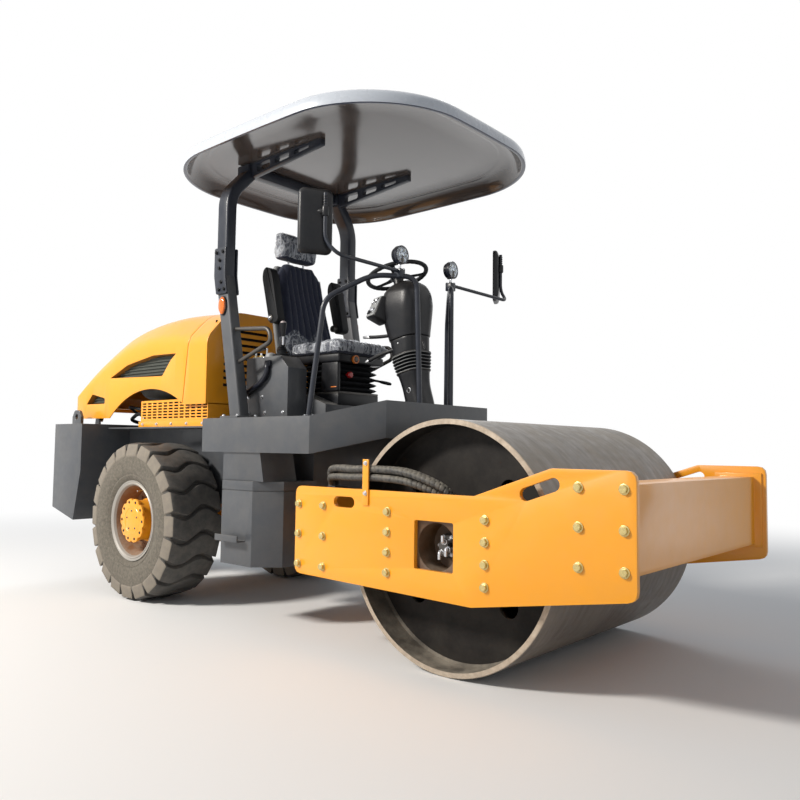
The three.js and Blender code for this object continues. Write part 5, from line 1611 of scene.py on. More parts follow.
def build_suspension():
    """The folded bellows under the seat's pan, with its knobs and the height lever."""
    black, parts = "soft_black", []
    rings = []
    low, folds, pitch = 1.421, 5, 0.038
    for i in range(folds * 4 + 1):
        t = i / 4
        out = 0.5 - 0.5 * math.cos(t * math.tau)
        grown = 0.155 + 0.036 * out ** 0.6
        rings.append(rounded_ring((SEAT_X, 0, low + t * pitch * 0.985), grown, grown, 0.03, 5))
    parts.append(dressed(lofted("bellows", rings), black))
    foot = block("foot", (SEAT_X - 0.19, -0.19, 1.4035), (SEAT_X + 0.19, 0.19, 1.4215), 0.005)
    parts.append(dressed(foot, "dark_steel"))
    pan = block("pan", (SEAT_X - 0.215, -0.215, 1.608), (SEAT_X + 0.215, 0.215, 1.6645), 0.012, 3)
    parts.append(dressed(pan, "black_plastic"))
    cover = block("cover", (SEAT_X + 0.045, -0.208, 1.42), (SEAT_X + 0.2, -0.18, 1.61), 0.008, 3)
    parts.append(dressed(cover, "black_plastic"))
    mark = block("mark", (SEAT_X + 0.14, -0.2095, 1.444), (SEAT_X + 0.19, -0.207, 1.45), 0.0008)
    parts.append(dressed(mark, "orange_ring"))
    riser = slab("riser", [(-0.035, 1.4025), (0.183, 1.333), (0.183, 1.4045), (-0.035, 1.4045)], -0.19, 0.19)
    parts.append(dressed(riser, "black_plastic"))
    knob = (SEAT_X + 0.215, -0.07, 1.633)
    for profile, finish_name in (
            ([(0.019, 0.0), (0.027, 0.0), (0.029, 0.008), (0.027, 0.017), (0.02, 0.017)], "orange_ring"),
            ([(0.0, 0.0), (0.019, 0.0), (0.019, 0.013), (0.014, 0.02), (0.0, 0.021)], "dark_steel")):
        parts.append(dressed(turned("knob", profile, knob, 40, (1, 0, 0), closed=True), finish_name))
    red = [(0.0, 0.0), (0.012, 0.0), (0.012, 0.018), (0.021, 0.02), (0.0215, 0.036), (0.016, 0.043),
           (0.0, 0.044)]
    parts.append(dressed(turned("red", red, (SEAT_X + 0.175, -0.1, 1.53), 40, (1, 0, 0), closed=True),
                         "red_knob"))
    lever = tube("lever", bent([(0.16, 0.13, 1.515), (0.235, 0.126, 1.505), (0.285, 0.125, 1.492)], 0.03),
                 0.008)
    parts.append(dressed(lever, black))
    paddle = lofted("paddle", [
        [Vector((0.262 + t * 0.095, 0.125 - t * 0.004 + a * w, 1.498 - t * 0.02 + b * h)) for a, b in circle]
        for t, w, h in ((0, 0.009, 0.009), (0.15, 0.014, 0.011), (0.7, 0.02, 0.012), (0.95, 0.017, 0.01),
                        (1, 0.008, 0.005))
        for circle in [[(math.cos(k * math.tau / 20), math.sin(k * math.tau / 20)) for k in range(20)]]])
    parts.append(dressed(paddle, black))
    present(joined("seat_suspension_finish", parts), "rear_frame", ["seat_suspension"], 40)


def build_seat_base():
    grey = "grey_enamel"
    base = refined("seat_base", grey, 0.006, 3)
    places = []
    for sign in (-1, 1):
        for x, z in ((-0.31, 1.26), (-0.12, 1.26), (0.06, 1.26), (0.16, 1.26), (-0.31, 1.372),
                     (-0.06, 1.372)):
            places.append(facing((x, sign * 0.3, z), (0, sign, 0), x * 9))
    bolts = scattered("base_bolts", hex_bolt("bolt", 0.009, "bright_zinc"), places)
    present(joined("seat_base_finish", [bolts, base]), "rear_frame", ["seat_base"])


def build_side_console():
    """The console beside the seat: sheet box, latch, bent hand bar and the travel lever in its gaiter."""
    parts = []
    low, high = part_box("side_console")
    edges = [(low.x + 0.03, low.z + 0.045), (low.x + 0.2, low.z + 0.045), (high.x - 0.04, low.z + 0.045),
             (low.x + 0.03, low.z + 0.15), (low.x + 0.17, low.z + 0.15)]
    places = [facing((x, low.y, z), (0, -1, 0), x * 7) for x, z in edges]
    parts.append(scattered("console_bolts", hex_bolt("bolt", 0.009, "bright_zinc"), places))
    arm = bent([(low.x + 0.01, low.y - 0.019, 1.40), (low.x + 0.17, low.y - 0.019, 1.465),
                (low.x + 0.235, low.y - 0.019, 1.52), (low.x + 0.235, low.y - 0.019, 1.60)], 0.05)
    parts.append(dressed(tube("hand_bar", arm, 0.017, 5), "black_enamel"))
    parts.append(dressed(block("bar_seat", (low.x + 0.21, low.y - 0.02, 1.575),
                               (low.x + 0.26, low.y + 0.002, 1.615), 0.004), "black_enamel"))
    top = 1.64
    latch = slab("latch", [(-0.38, -0.45), (-0.25, -0.45), (-0.22, -0.41), (-0.25, -0.35), (-0.38, -0.35)],
                 top + 0.0003, top + 0.006, "XY", 0.012, 0.001)
    parts.append(dressed(latch, "bright_zinc"))
    dome = [(0.0, 0.03), (0.02, 0.028), (0.034, 0.018), (0.038, 0.0), (0.0, 0.0)]
    parts.append(dressed(turned("dome", dome, (-0.24, -0.40, top + 0.006), 40, (0, 0, 1)), "shell_plastic"))
    for x, y, tall in ((-0.36, -0.43, 0.05), (-0.32, -0.37, 0.075), (-0.29, -0.44, 0.032)):
        parts.append(dressed(bar("post", (x, y, top), (x, y, top + tall), 0.007, 20, 0.001), "bright_zinc"))
        nut = bar("nut", (x, y, top + 0.006), (x, y, top + 0.016), 0.013, 6, 0.001)
        parts.append(dressed(nut, "yellow_zinc"))
    link = tube("link", bent([(-0.36, -0.43, top + 0.044), (-0.335, -0.39, top + 0.062),
                              (-0.32, -0.37, top + 0.068)], 0.01), 0.005)
    parts.append(dressed(link, "dark_steel"))
    box = refined("side_console", "grey_enamel", 0.008, 3)
    present(joined("side_console_finish", [*parts, box]), "rear_frame", ["side_console"])
    x, y, base = -0.135, -0.39, 1.6403
    rings = []
    for i in range(25):
        t = i / 24
        radius = 0.041 * (1 - t) ** 1.3 + 0.012 + 0.0045 * math.cos(t * 5 * math.tau)
        rings.append([Vector((x + radius * math.cos(a), y + radius * math.sin(a), base + 0.004 + t * 0.075))
                      for a in (k * math.tau / 32 for k in range(32))])
    parts = [dressed(lofted("gaiter", rings), "soft_black")]
    parts.append(dressed(block("gaiter_ring", (x - 0.05, y - 0.05, base), (x + 0.05, y + 0.05, base + 0.005),
                               0.002), "black_plastic"))
    parts.append(dressed(bar("stick", (x, y, base + 0.05), (x, y, 1.80), 0.0065, 16), "bright_zinc"))
    grip = [(0.0, 0.0), (0.012, 0.002), (0.016, 0.02), (0.019, 0.05), (0.0235, 0.078), (0.024, 0.09),
            (0.0, 0.092)]
    parts.append(dressed(turned("grip", grip, (x, y, 1.775), 32, (0, 0, 1)), "black_plastic"))
    cap = [(0.0, 0.0), (0.019, 0.0), (0.018, 0.008), (0.01, 0.0135), (0.0, 0.0145)]
    parts.append(dressed(turned("cap", cap, (x, y, 1.8655), 32, (0, 0, 1)), "pale_knob"))
    present(joined("travel_lever_finish", parts), "rear_frame", ["travel_lever"], 40)


# ---------------------------------------------------------------- steering column
CONSOLE_X = 0.66
CONSOLE_SHAPE = [
    (-0.0197, 0.010, 0.170, 0.080), (0.10, -0.025, 0.130, 0.083), (0.22, -0.060, 0.090, 0.085),
    (0.37, -0.115, 0.080, 0.108), (0.51, -0.150, 0.078, 0.115), (0.62, -0.190, 0.085, 0.125),
    (0.72, -0.215, 0.090, 0.130), (0.80, -0.200, 0.078, 0.120), (0.85, -0.150, 0.048, 0.092),
    (0.877, -0.09, 0.0, 0.045)]


def console_station(height):
    """Back, front and half width of the column at a height over the platform, smooth between stations."""
    spots = [Vector((back, front, half)) for _, back, front, half in CONSOLE_SHAPE]
    heights = [row[0] for row in CONSOLE_SHAPE]
    k = 0
    while k < len(heights) - 2 and height > heights[k + 1]:
        k += 1
    t = min(max((height - heights[k]) / (heights[k + 1] - heights[k]), 0.0), 1.0)
    before = spots[max(k - 1, 0)]
    after = spots[min(k + 2, len(spots) - 1)]
    here, there = spots[k], spots[k + 1]
    return 0.5 * (2 * here + (there - before) * t + (2 * before - 5 * here + 4 * there - after) * t * t
                  + (3 * here - before - 3 * there + after) * t ** 3)


def console_ring(height, grown=0.0, roundness=0.75):
    back, front, half = console_station(height)
    back, front, half = back - grown, front + grown, half + grown
    depth = (front - back) / 2
    return rounded_ring((CONSOLE_X + (front + back) / 2, 0, DECK + height), depth, half,
                        min(depth, half) * roundness, 9)


def console_skin(name, low, high, count, grown=0.0, material="black_plastic"):
    rings = [console_ring(low + (high - low) * k / count, grown) for k in range(count + 1)]
    return dressed(bevelled(lofted(name, rings), 0.004, 2, 50), material)


def build_steering_console():
    parts = [console_skin("foot_cover", -0.0195, 0.29, 16), console_skin("collar", 0.407, 0.508, 8, -0.004),
             console_skin("head", 0.511, 0.8765, 34, 0.001)]
    rings = []
    folds = 6
    for i in range(folds * 6 + 1):
        t = i / (folds * 6)
        fold = 0.5 - 0.5 * math.cos(t * folds * math.tau)
        rings.append(console_ring(0.285 + t * 0.125, -0.016 + 0.02 * fold))
    parts.append(dressed(lofted("bellows", rings), "soft_black"))
    # painted highlights: thin grey rings along the crest of each fold
    for i in range(folds):
        height = 0.285 + (i + 0.5) / folds * 0.125
        ring = console_ring(height, 0.004)
        parts.append(dressed(tube("fold_edge_painted_highlight", ring, 0.0022, 2, closed=True), "shell_plastic"))
    for height in (0.292, 0.405):
        parts.append(dressed(tube("clip_ring", console_ring(height, 0.002), 0.004, 3, closed=True),
                             "dark_steel"))
    for sign in (-1, 1):
        back, front, half = console_station(0.175)
        eye = Vector((CONSOLE_X + (back + front) / 2, sign * half, DECK + 0.175))
        profile = [(0.011, -0.004), (0.015, -0.004), (0.0165, 0.001), (0.013, 0.003), (0.011, 0.001)]
        parts.append(dressed(turned("eyelet", profile, eye, 28, (0, sign, 0), closed=True), "bright_zinc"))
        # a dark disc in the eyelet: painted shade in its hole
        parts.append(dressed(bar("hole", eye - Vector((0, sign * 0.004, 0)),
                                 eye + Vector((0, sign * 0.0008, 0)), 0.0115, 24), "painted_shade_and_black_dials"))
        back, front, half = console_station(0.475)
        spot = Vector((CONSOLE_X + (back + front) / 2 - 0.01, sign * (half - 0.0045), DECK + 0.478))
        parts.append(dressed(placed(round_bolt("white_screw", 0.006, "bright_zinc"),
                                    facing(spot, (0, sign, 0))), "bright_zinc"))
    for part in parts:
        for vertex in part.data.vertices:
            height = vertex.co.z - DECK
            share = min(max((height - 0.08) / 0.2, 0.0), 1.0) * min(max((0.8 - height) / 0.35, 0.0), 1.0)
            vertex.co.z += 0.24 * share * (vertex.co.x - CONSOLE_X + 0.02)
    parts += switch_pod()
    levers = [
        ([(0.59, -0.07, 1.765), (0.44, -0.075, 1.762), (0.345, -0.072, 1.768)], 0.0115, 0.055),
        ([(0.60, -0.085, 1.675), (0.47, -0.1, 1.645), (0.375, -0.105, 1.612)], 0.013, 0.03)]
    for path, radius, tip in levers:
        middle, end = Vector(path[1]), Vector(path[2])
        parts.append(dressed(tube("lever", bent(path, 0.05), radius), "black_plastic"))
        along = (end - middle).normalized()
        parts.append(dressed(bar("lever_tip", end, end + along * tip, radius * 0.8, 20, 0.002),
                             "bright_zinc"))
    stalk = tube("stalk", bent([(0.73, -0.04, 1.745), (0.775, -0.055, 1.70), (0.795, -0.06, 1.66)], 0.02),
                 0.006)
    parts.append(dressed(stalk, "black_plastic"))
    present(joined("steering_console_finish", parts), "rear_frame", ["steering_console"], 40)


def switch_pod():
    """Key switch, gauges and rockers on the side of the head that faces the driver."""
    turn = Matrix.Translation((0.475, -0.095, 1.92)) @ Matrix.Rotation(math.radians(66), 4, "Z")
    turn = turn @ Matrix.Rotation(math.radians(24), 4, "Y")
    pod = block("pod", (-0.062, -0.06, -0.075), (0.05, 0.075, 0.075), 0.014, 3)
    face = block("face", (-0.0655, -0.052, -0.067), (-0.06, 0.067, 0.067), 0.002)
    parts = [dressed(pod, "black_plastic"), dressed(face, "shell_plastic")]
    bezel = [(0.014, 0.0), (0.019, 0.0), (0.0195, 0.004), (0.017, 0.007), (0.014, 0.005)]
    for y, z in ((-0.025, 0.035), (0.035, 0.035), (-0.025, -0.035)):
        parts.append(dressed(turned("bezel", bezel, (-0.0655, y, z), 28, (-1, 0, 0), closed=True),
                             "bright_zinc"))
        parts.append(dressed(bar("dial", (-0.0655, y, z), (-0.068, y, z), 0.0142, 28), "painted_shade_and_black_dials"))
    for k in range(3):
        y = 0.015 + k * 0.017
        parts.append(dressed(block("rocker", (-0.0725, y - 0.0065, -0.05), (-0.065, y + 0.0065, -0.022),
                                   0.002), "soft_black"))
    parts.append(dressed(block("key", (-0.09, -0.028, -0.047), (-0.067, -0.022, -0.023), 0.001),
                         "bright_zinc"))
    for part in parts:
        part.data.transform(turn)
    return parts


def build_steering_wheel():
    centre = Vector((0.51, 0, 2.16))
    turn = Matrix.Translation(centre) @ Matrix.Rotation(-0.3, 4, "Y")
    black, parts = "soft_black", []
    section = [(0.19 + 0.0145 * math.cos(a),
                0.0135 * math.sin(a)) for a in (k * math.tau / 16 for k in range(16))]
    ring = turned("ring", section, (0, 0, 0), 128, (0, 0, 1), closed=True)
    for vertex in ring.data.vertices:
        angle = math.atan2(vertex.co.y, vertex.co.x)
        if vertex.co.z < 0.002:
            vertex.co.z *= 1 - 0.16 * max(0.0, math.cos(angle * 32))
    parts.append(dressed(ring, black))
    for k in range(3):
        angle = math.pi / 3 + k * math.tau / 3
        rings = []
        for reach, drop, wide, thick in ((0.03, -0.012, 0.026, 0.008), (0.08, -0.012, 0.019, 0.007),
                                         (0.14, -0.005, 0.016, 0.006), (0.182, 0.0, 0.022, 0.007)):
            rings.append([Vector((reach, wide * math.cos(a), drop + thick * math.sin(a)))
                          for a in (i * math.tau / 16 for i in range(16))])
        spoke = lofted("spoke", rings)
        spoke.data.transform(Matrix.Rotation(angle, 4, "Z"))
        parts.append(dressed(spoke, black))
    hub = [(0.0, 0.012), (0.03, 0.011), (0.042, 0.005), (0.047, -0.008), (0.05, -0.02), (0.0, -0.02)]
    parts.append(dressed(turned("hub", hub, (0, 0, 0), 48, (0, 0, 1)), "black_plastic"))
    parts.append(dressed(turned("ring_mark", [(0.024, 0.0115), (0.026, 0.013), (0.028, 0.0113)], (0, 0, 0),
                                40, (0, 0, 1), closed=True), "dark_steel"))
    shroud = [(0.0, -0.02), (0.036, -0.02), (0.032, -0.05), (0.04, -0.075), (0.0, -0.075)]
    parts.append(dressed(turned("shroud", shroud, (0, 0, 0), 40, (0, 0, 1)), "black_plastic"))
    for part in parts:
        part.data.transform(turn)
    present(joined("steering_wheel_finish", parts), "rear_frame", ["steering_wheel"], 45)


# ---------------------------------------------------------------- handrails, mirrors and lamps
RAIL_REAR = Vector((0.413, -0.65))
RAIL_FRONT = Vector((0.833, -0.15))
RAIL_TOP = 2.08
CLAMP = Vector((0.749, -0.25))


def along_rail(t, z):
    spot = RAIL_REAR.lerp(RAIL_FRONT, t)
    return Vector((spot.x, spot.y, z))


def mirrored_side(pieces, sign):
    """Turns pieces made on the right into those on the left where the sign says so."""
    if sign > 0:
        for piece in pieces:
            piece.data.transform(MIRROR)
            piece.data.flip_normals()
    return pieces


def build_handrails():
    paint = "frame_enamel"
    for side, sign in SIDES.items():
        path = bent([along_rail(0, 1.235), along_rail(0.12, RAIL_TOP - 0.15), along_rail(0.55, RAIL_TOP),
                     along_rail(0.96, RAIL_TOP), along_rail(1, 1.283)], 0.08, 10)
        parts = []
        bolts = []
        for spot, z in ((RAIL_REAR, 1.2305), (RAIL_FRONT, 1.2805)):
            disc = turned("flange", [(0, 0), (0.038, 0), (0.038, 0.006), (0.036, 0.008), (0.02, 0.0085),
                                     (0.0175, 0.014), (0, 0.014)], (spot.x, spot.y, z), 40, (0, 0, 1))
            parts.append(dressed(disc, paint))
            for k in range(3):
                angle = math.tau * k / 3 + 0.5
                bolts.append(Matrix.Translation((spot.x + 0.0285 * math.cos(angle),
                                                 spot.y + 0.0285 * math.sin(angle), z + 0.008)))
        parts.insert(0, scattered("rail_bolts", hex_bolt("bolt", 0.0055, "bright_zinc"), bolts))
        parts.append(dressed(tube("pipe", path, 0.016, 6), paint))
        mirrored_side(parts, sign)
        present(joined("handrail_finish_" + side, parts), "rear_frame", ["handrail_" + side],
                40)


def build_mirrors():
    black = "black_plastic"
    start = Vector((CLAMP.x, CLAMP.y, RAIL_TOP + 0.029))
    head_z = start.z + 0.17
    for side, sign in SIDES.items():
        path = bent([start, (0.805, -0.82, start.z - 0.02), (0.735, -0.85, start.z + 0.06),
                     (0.735, -0.85, head_z + 0.15)], 0.06, 10)
        parts = [dressed(tube("arm", path, 0.011, 5), "frame_enamel")]
        for k in range(4):
            z = head_z + 0.085 + k * 0.014
            parts.append(dressed(bar("rib", (0.735, -0.85, z), (0.735, -0.85, z + 0.007), 0.0135, 20, 0.001),
                                 black))
        clamp = block("clamp", (CLAMP.x - 0.024, CLAMP.y - 0.024, RAIL_TOP - 0.01),
                      (CLAMP.x + 0.024, CLAMP.y + 0.024, RAIL_TOP + 0.042), 0.004)
        parts.append(dressed(clamp, "frame_enamel"))
        spots = [facing((CLAMP.x + dx * 0.017, CLAMP.y + dy * 0.017, RAIL_TOP + 0.042), (0, 0, 1), dx)
                 for dx in (-1, 1) for dy in (-1, 1)]
        parts.append(scattered("clamp_bolts", hex_bolt("bolt", 0.0055, "bright_zinc"), spots))
        parts.append(dressed(bar("ball", (0.735, -0.85, head_z + 0.022), (0.735, -0.85, head_z + 0.078),
                                 0.0195, 28, 0.006), black))
        parts.append(dressed(bar("stub", (0.733, -0.853, head_z + 0.05), (0.698, -0.868, head_z + 0.05),
                                 0.015, 24, 0.003), black))
        shell = []
        for x, share in ((-0.03, 0.965), (-0.029, 0.985), (-0.024, 1.0), (-0.012, 0.995), (-0.002, 0.955),
                         (0.005, 0.86), (0.009, 0.68), (0.01, 0.4)):
            ring = rounded_ring((0, 0, 0), 0.095 * share, 0.18 * share, 0.034 * share, 6)
            shell.append([Vector((x, point.x, point.y)) for point in ring])
        glass = []
        for x, share in ((-0.0302, 0.93), (-0.0306, 0.9), (-0.031, 0.5)):
            ring = rounded_ring((0, 0, 0), 0.095 * share, 0.18 * share, 0.03 * share, 6)
            glass.append([Vector((x, point.x, point.y)) for point in ring])
        head = [dressed(lofted("shell", shell), black), dressed(lofted("glass", glass), "mirror_glass")]
        rim = rounded_ring((0, 0, 0), 0.091, 0.176, 0.032, 6)
        rim = [Vector((-0.0295, point.x, point.y)) for point in rim]
        head.append(dressed(tube("rim", rim, 0.0035, 3, closed=True), black))
        turn = Matrix.Translation((0.695, -0.88, head_z)) @ Matrix.Rotation(-math.pi / 6, 4, "Z")
        for part in head:
            part.data.transform(turn)
        parts += head
        mirrored_side(parts, sign)
        present(joined("mirror_finish_" + side, parts), "rear_frame", ["mirror_" + side], 40)


def build_work_lamps():
    centre = Vector((CLAMP.x, CLAMP.y, RAIL_TOP + 0.125))
    turn = Matrix.Translation(centre) @ Matrix.Rotation(-math.pi / 2 - 0.05, 4, "Z")
    for side, sign in SIDES.items():
        can = [(0.0, -0.03), (0.036, -0.03), (0.042, -0.027), (0.05, -0.012), (0.055, 0.0), (0.056, 0.004),
               (0.056, 0.021), (0.0535, 0.022), (0.052, 0.019), (0.0, 0.017)]
        parts = [dressed(turned("can", can, (0, 0, 0), 56), "black_enamel")]
        for k in range(5):
            y = -0.026 + k * 0.0055
            radius = 0.043 + k * 0.0022
            fin = [(radius, y), (radius + 0.0045, y + 0.0005), (radius + 0.0045, y + 0.002),
                   (radius, y + 0.0025)]
            parts.append(dressed(turned("fin", fin, (0, 0, 0), 40, closed=True), "black_enamel"))
        chips = [(0.0, 0.0)] + [(0.031 * math.cos(k * math.tau / 6), 0.031 * math.sin(k * math.tau / 6))
                                for k in range(6)]
        for x, z in chips:
            bowl = [(0.0145, 0.0205), (0.0135, 0.021), (0.009, 0.0178), (0.0045, 0.0172), (0.006, 0.0168),
                    (0.0145, 0.0168)]
            parts.append(dressed(turned("bowl", bowl, (x, 0, z), 20, closed=True), "lamp_reflector"))
            chip = block("chip", (x - 0.0042, 0.017, z - 0.0042), (x + 0.0042, 0.0186, z + 0.0042), 0.0006, 1)
            parts.append(dressed(chip, "lamp_chip"))
        plate = bar("plate", (0, 0.0165, 0), (0, 0.0172, 0), 0.051, 48)
        parts.append(dressed(plate, "lamp_reflector"))
        glass = turned("glass", [(0.0, 0.0225), (0.05, 0.0215), (0.051, 0.0205), (0.05, 0.0203),
                                 (0.0, 0.0213)], (0, 0, 0), 48)
        for part in parts:
            part.data.transform(turn)
        glass.data.transform(turn)
        stem = bar("stem", (centre.x, centre.y, RAIL_TOP + 0.0425), (centre.x, centre.y, centre.z - 0.05),
                   0.009, 20, 0.001)
        parts.append(dressed(stem, "bright_zinc"))
        for sign_x in (-1, 1):
            ear = block("ear", (-0.012, -0.012, -0.05), (0.012, 0.006, 0.0), 0.002)
            spread = Matrix.Rotation(0.2 * sign_x, 4, "Z") @ Matrix.Translation((sign_x * 0.012, 0, -0.004))
            ear.data.transform(Matrix.Translation(centre) @ spread)
            parts.append(dressed(ear, "dark_steel"))
        dressed(glass, "lamp_glass")
        mirrored_side([*parts, glass], sign)
        present(joined("work_lamp_finish_" + side, parts), "rear_frame", ["work_lamp_" + side],
                40)
        present(joined("work_lamp_glass_" + side, [glass]), "rear_frame", (), 40)


# ---------------------------------------------------------------- steering cylinders and the drum's motor
CYLINDER_Y = 0.27
CYLINDER_Z = 0.61
MOTOR_FACE = 0.695


def build_cylinders():
    z = CYLINDER_Z
    for side, sign in SIDES.items():
        y = sign * CYLINDER_Y
        barrel = [(0.0, -0.287), (0.036, -0.287), (0.04, -0.283), (0.04, 0.12), (0.044, 0.124),
                  (0.044, 0.166), (0.041, 0.17), (0.024, 0.172), (0.0, 0.172)]
        parts = [dressed(turned("tube", barrel, (0, y, z), 48, (1, 0, 0)), "black_enamel")]
        low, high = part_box("cylinder_barrel_" + side)
        eye = turned("eye", [(0.0195, low.y - y), (0.036, low.y - y), (0.038, low.y - y + 0.002),
                             (0.038, high.y - y - 0.002), (0.036, high.y - y), (0.0195, high.y - y)],
                     (-0.307, y, z), 40, (0, 1, 0), closed=True)
        parts.append(dressed(eye, "black_enamel"))
        for x in (-0.25, 0.1):
            port = bar("port", (x, y, z + 0.035), (x, y, z + 0.056), 0.012, 6, 0.001)
            parts.append(dressed(port, "bright_zinc"))
        present(refit(joined("cylinder_barrel_finish_" + side, parts), "cylinder_barrel_" + side),
                "barrel_" + side, ["cylinder_barrel_" + side], 35)
        rod = refined("cylinder_rod_" + side, "chrome_rod", 0.001)
        present(rod, "rod_" + side, ["cylinder_rod_" + side], 35)


def refit(piece, node):
    """Keeps the frame's own pin eyes under the finer tube, so the pins still pass through them."""
    return joined(piece.name, [refined(node, "black_enamel", 0.001, name="core"), piece])


def build_drum_motor():
    """Motor face and fittings in the bearing well, behind the plate's window."""
    for side, sign in SIDES.items():
        centre = Vector((DRUM_AXLE.x, sign * MOTOR_FACE, 0.60))
        steel, zinc = "dark_steel", "bright_zinc"
        outward = Vector((0, sign, 0))
        profile = [(0.0, 0.0), (0.058, 0.0), (0.058, 0.03), (0.05, 0.038), (0.03, 0.04), (0.028, 0.07),
                   (0.0, 0.07)]
        parts = [dressed(turned("motor", profile, centre, 40, outward), steel)]
        for k in range(6):
            angle = math.tau * k / 6
            spot = centre + Vector((0.047 * math.cos(angle), sign * 0.038, 0.047 * math.sin(angle)))
            parts.append(dressed(placed(hex_bolt("bolt", 0.0075, zinc), facing(spot, outward, angle)), zinc))
        for dx, dz, reach in ((0.018, 0.024, 0.1), (0.03, -0.012, 0.09), (-0.012, -0.03, 0.085)):
            root = centre + Vector((dx, sign * 0.04, dz))
            tip = centre + Vector((dx, sign * reach, dz))
            parts.append(dressed(bar("fitting", root, tip, 0.0105, 20, 0.001), zinc))
            parts.append(dressed(bar("nut", tip - outward * 0.03, tip - outward * 0.014, 0.0155, 6, 0.001),
                                 zinc))
            turn = tip + Vector((0.0, 0, 0.03 if dz > 0 else -0.03))
            parts.append(dressed(tube("elbow", bent([tip - outward * 0.012, tip, turn], 0.012), 0.009), zinc))
        present(joined("drum_motor_" + side, parts), "front_frame", (), 35)


# ---------------------------------------------------------------- stage
FLOOR_Z = -0.002
FADE_FROM_TO = (3.0, 9.0)  # where the floor starts to go over into the room's white, and where it has


def build_stage():
    bpy.ops.object.select_all(action="DESELECT")
    bpy.ops.mesh.primitive_plane_add(size=60, location=(0, 0, FLOOR_Z))
    floor = settled("floor")
    material = bpy.data.materials.new("floor_pale")
    material.use_nodes = True
    shader = material.node_tree.nodes["Principled BSDF"]
    shader.inputs["Base Color"].default_value = (0.86, 0.86, 0.86, 1)
    shader.inputs["Roughness"].default_value = 0.9
    faded = material.node_tree
    far = faded.nodes.new("ShaderNodeVectorMath")
    far.operation = "LENGTH"
    faded.links.new(faded.nodes.new("ShaderNodeTexCoord").outputs["Object"], far.inputs[0])
    fade = ranged(faded, far.outputs["Value"], *FADE_FROM_TO)
    fade.node.interpolation_type = "SMOOTHSTEP"
    seen = faded.nodes.new("ShaderNodeLightPath")
    looked_at = math_node(faded, "MAXIMUM", seen.outputs["Is Camera Ray"], seen.outputs["Is Glossy Ray"])
    white = faded.nodes.new("ShaderNodeEmission")
    blend = faded.nodes.new("ShaderNodeMixShader")
    faded.links.new(math_node(faded, "MULTIPLY", fade, looked_at), blend.inputs[0])
    faded.links.new(shader.outputs[0], blend.inputs[1])
    faded.links.new(white.outputs[0], blend.inputs[2])
    faded.links.new(blend.outputs[0], faded.nodes["Material Output"].inputs["Surface"])
    floor.data.materials.append(material)
    world = bpy.data.worlds.new("pale_room")
    bpy.context.scene.world = world
    world.use_nodes = True
    tree = world.node_tree
    lighting = tree.nodes["Background"]
    lighting.inputs["Color"].default_value = (0.88, 0.93, 1.0, 1)
    lighting.inputs["Strength"].default_value = 0.29
    shown = tree.nodes.new("ShaderNodeBackground")
    shown.inputs["Color"].default_value = (1, 1, 1, 1)
    shown.inputs["Strength"].default_value = 1.0
    rays = tree.nodes.new("ShaderNodeLightPath")
    either = math_node(tree, "MAXIMUM", rays.outputs["Is Camera Ray"], rays.outputs["Is Glossy Ray"])
    either = math_node(tree, "MAXIMUM", either, rays.outputs["Is Transmission Ray"])
    mix = tree.nodes.new("ShaderNodeMixShader")
    tree.links.new(either, mix.inputs[0])
    tree.links.new(lighting.outputs[0], mix.inputs[1])
    tree.links.new(shown.outputs[0], mix.inputs[2])
    tree.links.new(mix.outputs[0], tree.nodes["World Output"].inputs[0])
    lamps = [("key", (-3.5, -8.0, 6.5), 1150, 1.6, (1.0, 0.95, 0.88)),
             ("back", (-5.0, 6.0, 6.0), 180, 4.0, (0.9, 0.95, 1.0))]
    for name, place, power, size, colour in lamps:
        lamp = bpy.data.lights.new(name, "AREA")
        lamp.energy = power
        lamp.size = size
        lamp.color = colour
        holder = bpy.data.objects.new(name, lamp)
        bpy.context.scene.collection.objects.link(holder)
        holder.location = place
        holder.rotation_euler = (Vector((0, 0, 1)) - Vector(place)).to_track_quat("-Z", "Y").to_euler()


def build_camera():
    yaw, pitch, roll = (math.radians(angle) for angle in (40.963, 3.575, 0.721))
    forward = Vector((-math.sin(yaw) * math.cos(pitch), math.cos(yaw) * math.cos(pitch), math.sin(pitch)))
    across = forward.cross(Vector((0, 0, 1))).normalized()
    up = across.cross(forward)
    right = across * math.cos(roll) + up * math.sin(roll)
    top = up * math.cos(roll) - across * math.sin(roll)
    lens = bpy.data.cameras.new("camera")
    lens.sensor_width = 36
    lens.lens = 34.53
    holder = bpy.data.objects.new("camera", lens)
    bpy.context.scene.collection.objects.link(holder)
    turn = Matrix((right, top, -forward)).transposed().to_4x4()
    holder.matrix_world = Matrix.Translation((DRUM_AXLE.x + 2.2238, -3.6507, 1.0584)) @ turn
    bpy.context.scene.camera = holder


# ---------------------------------------------------------------- operators and panel
class ROLLER_OT_finishes(bpy.types.Operator):
    """Make the shader groups and every finish"""

    bl_idname = "roller.finishes"
    bl_label = "Finishes"

    def execute(self, context):
        build_finishes(context.scene.roller_colours)
        return {"FINISHED"}


class ROLLER_OT_front_frame(bpy.types.Operator):
    """Round the side plates and beams and bolt them together"""

    bl_idname = "roller.front_frame"
    bl_label = "Front Frame"

    def execute(self, context):
        build_front_frame(context.scene.roller_sizes)
        return {"FINISHED"}


class ROLLER_OT_drum(bpy.types.Operator):
    """Turn the drum's shell and heads and wrap its hoses"""

    bl_idname = "roller.drum"
    bl_label = "Drum"

    def execute(self, context):
        build_drum(context.scene.roller_sizes)
        build_hoses(context.scene.roller_sizes)
        return {"FINISHED"}


class ROLLER_OT_wheels(bpy.types.Operator):
    """Make the treaded tyres, rims and hubs"""

    bl_idname = "roller.wheels"
    bl_label = "Wheels"

    def execute(self, context):
        build_tyres(context.scene.roller_sizes)
        build_rims()
        return {"FINISHED"}


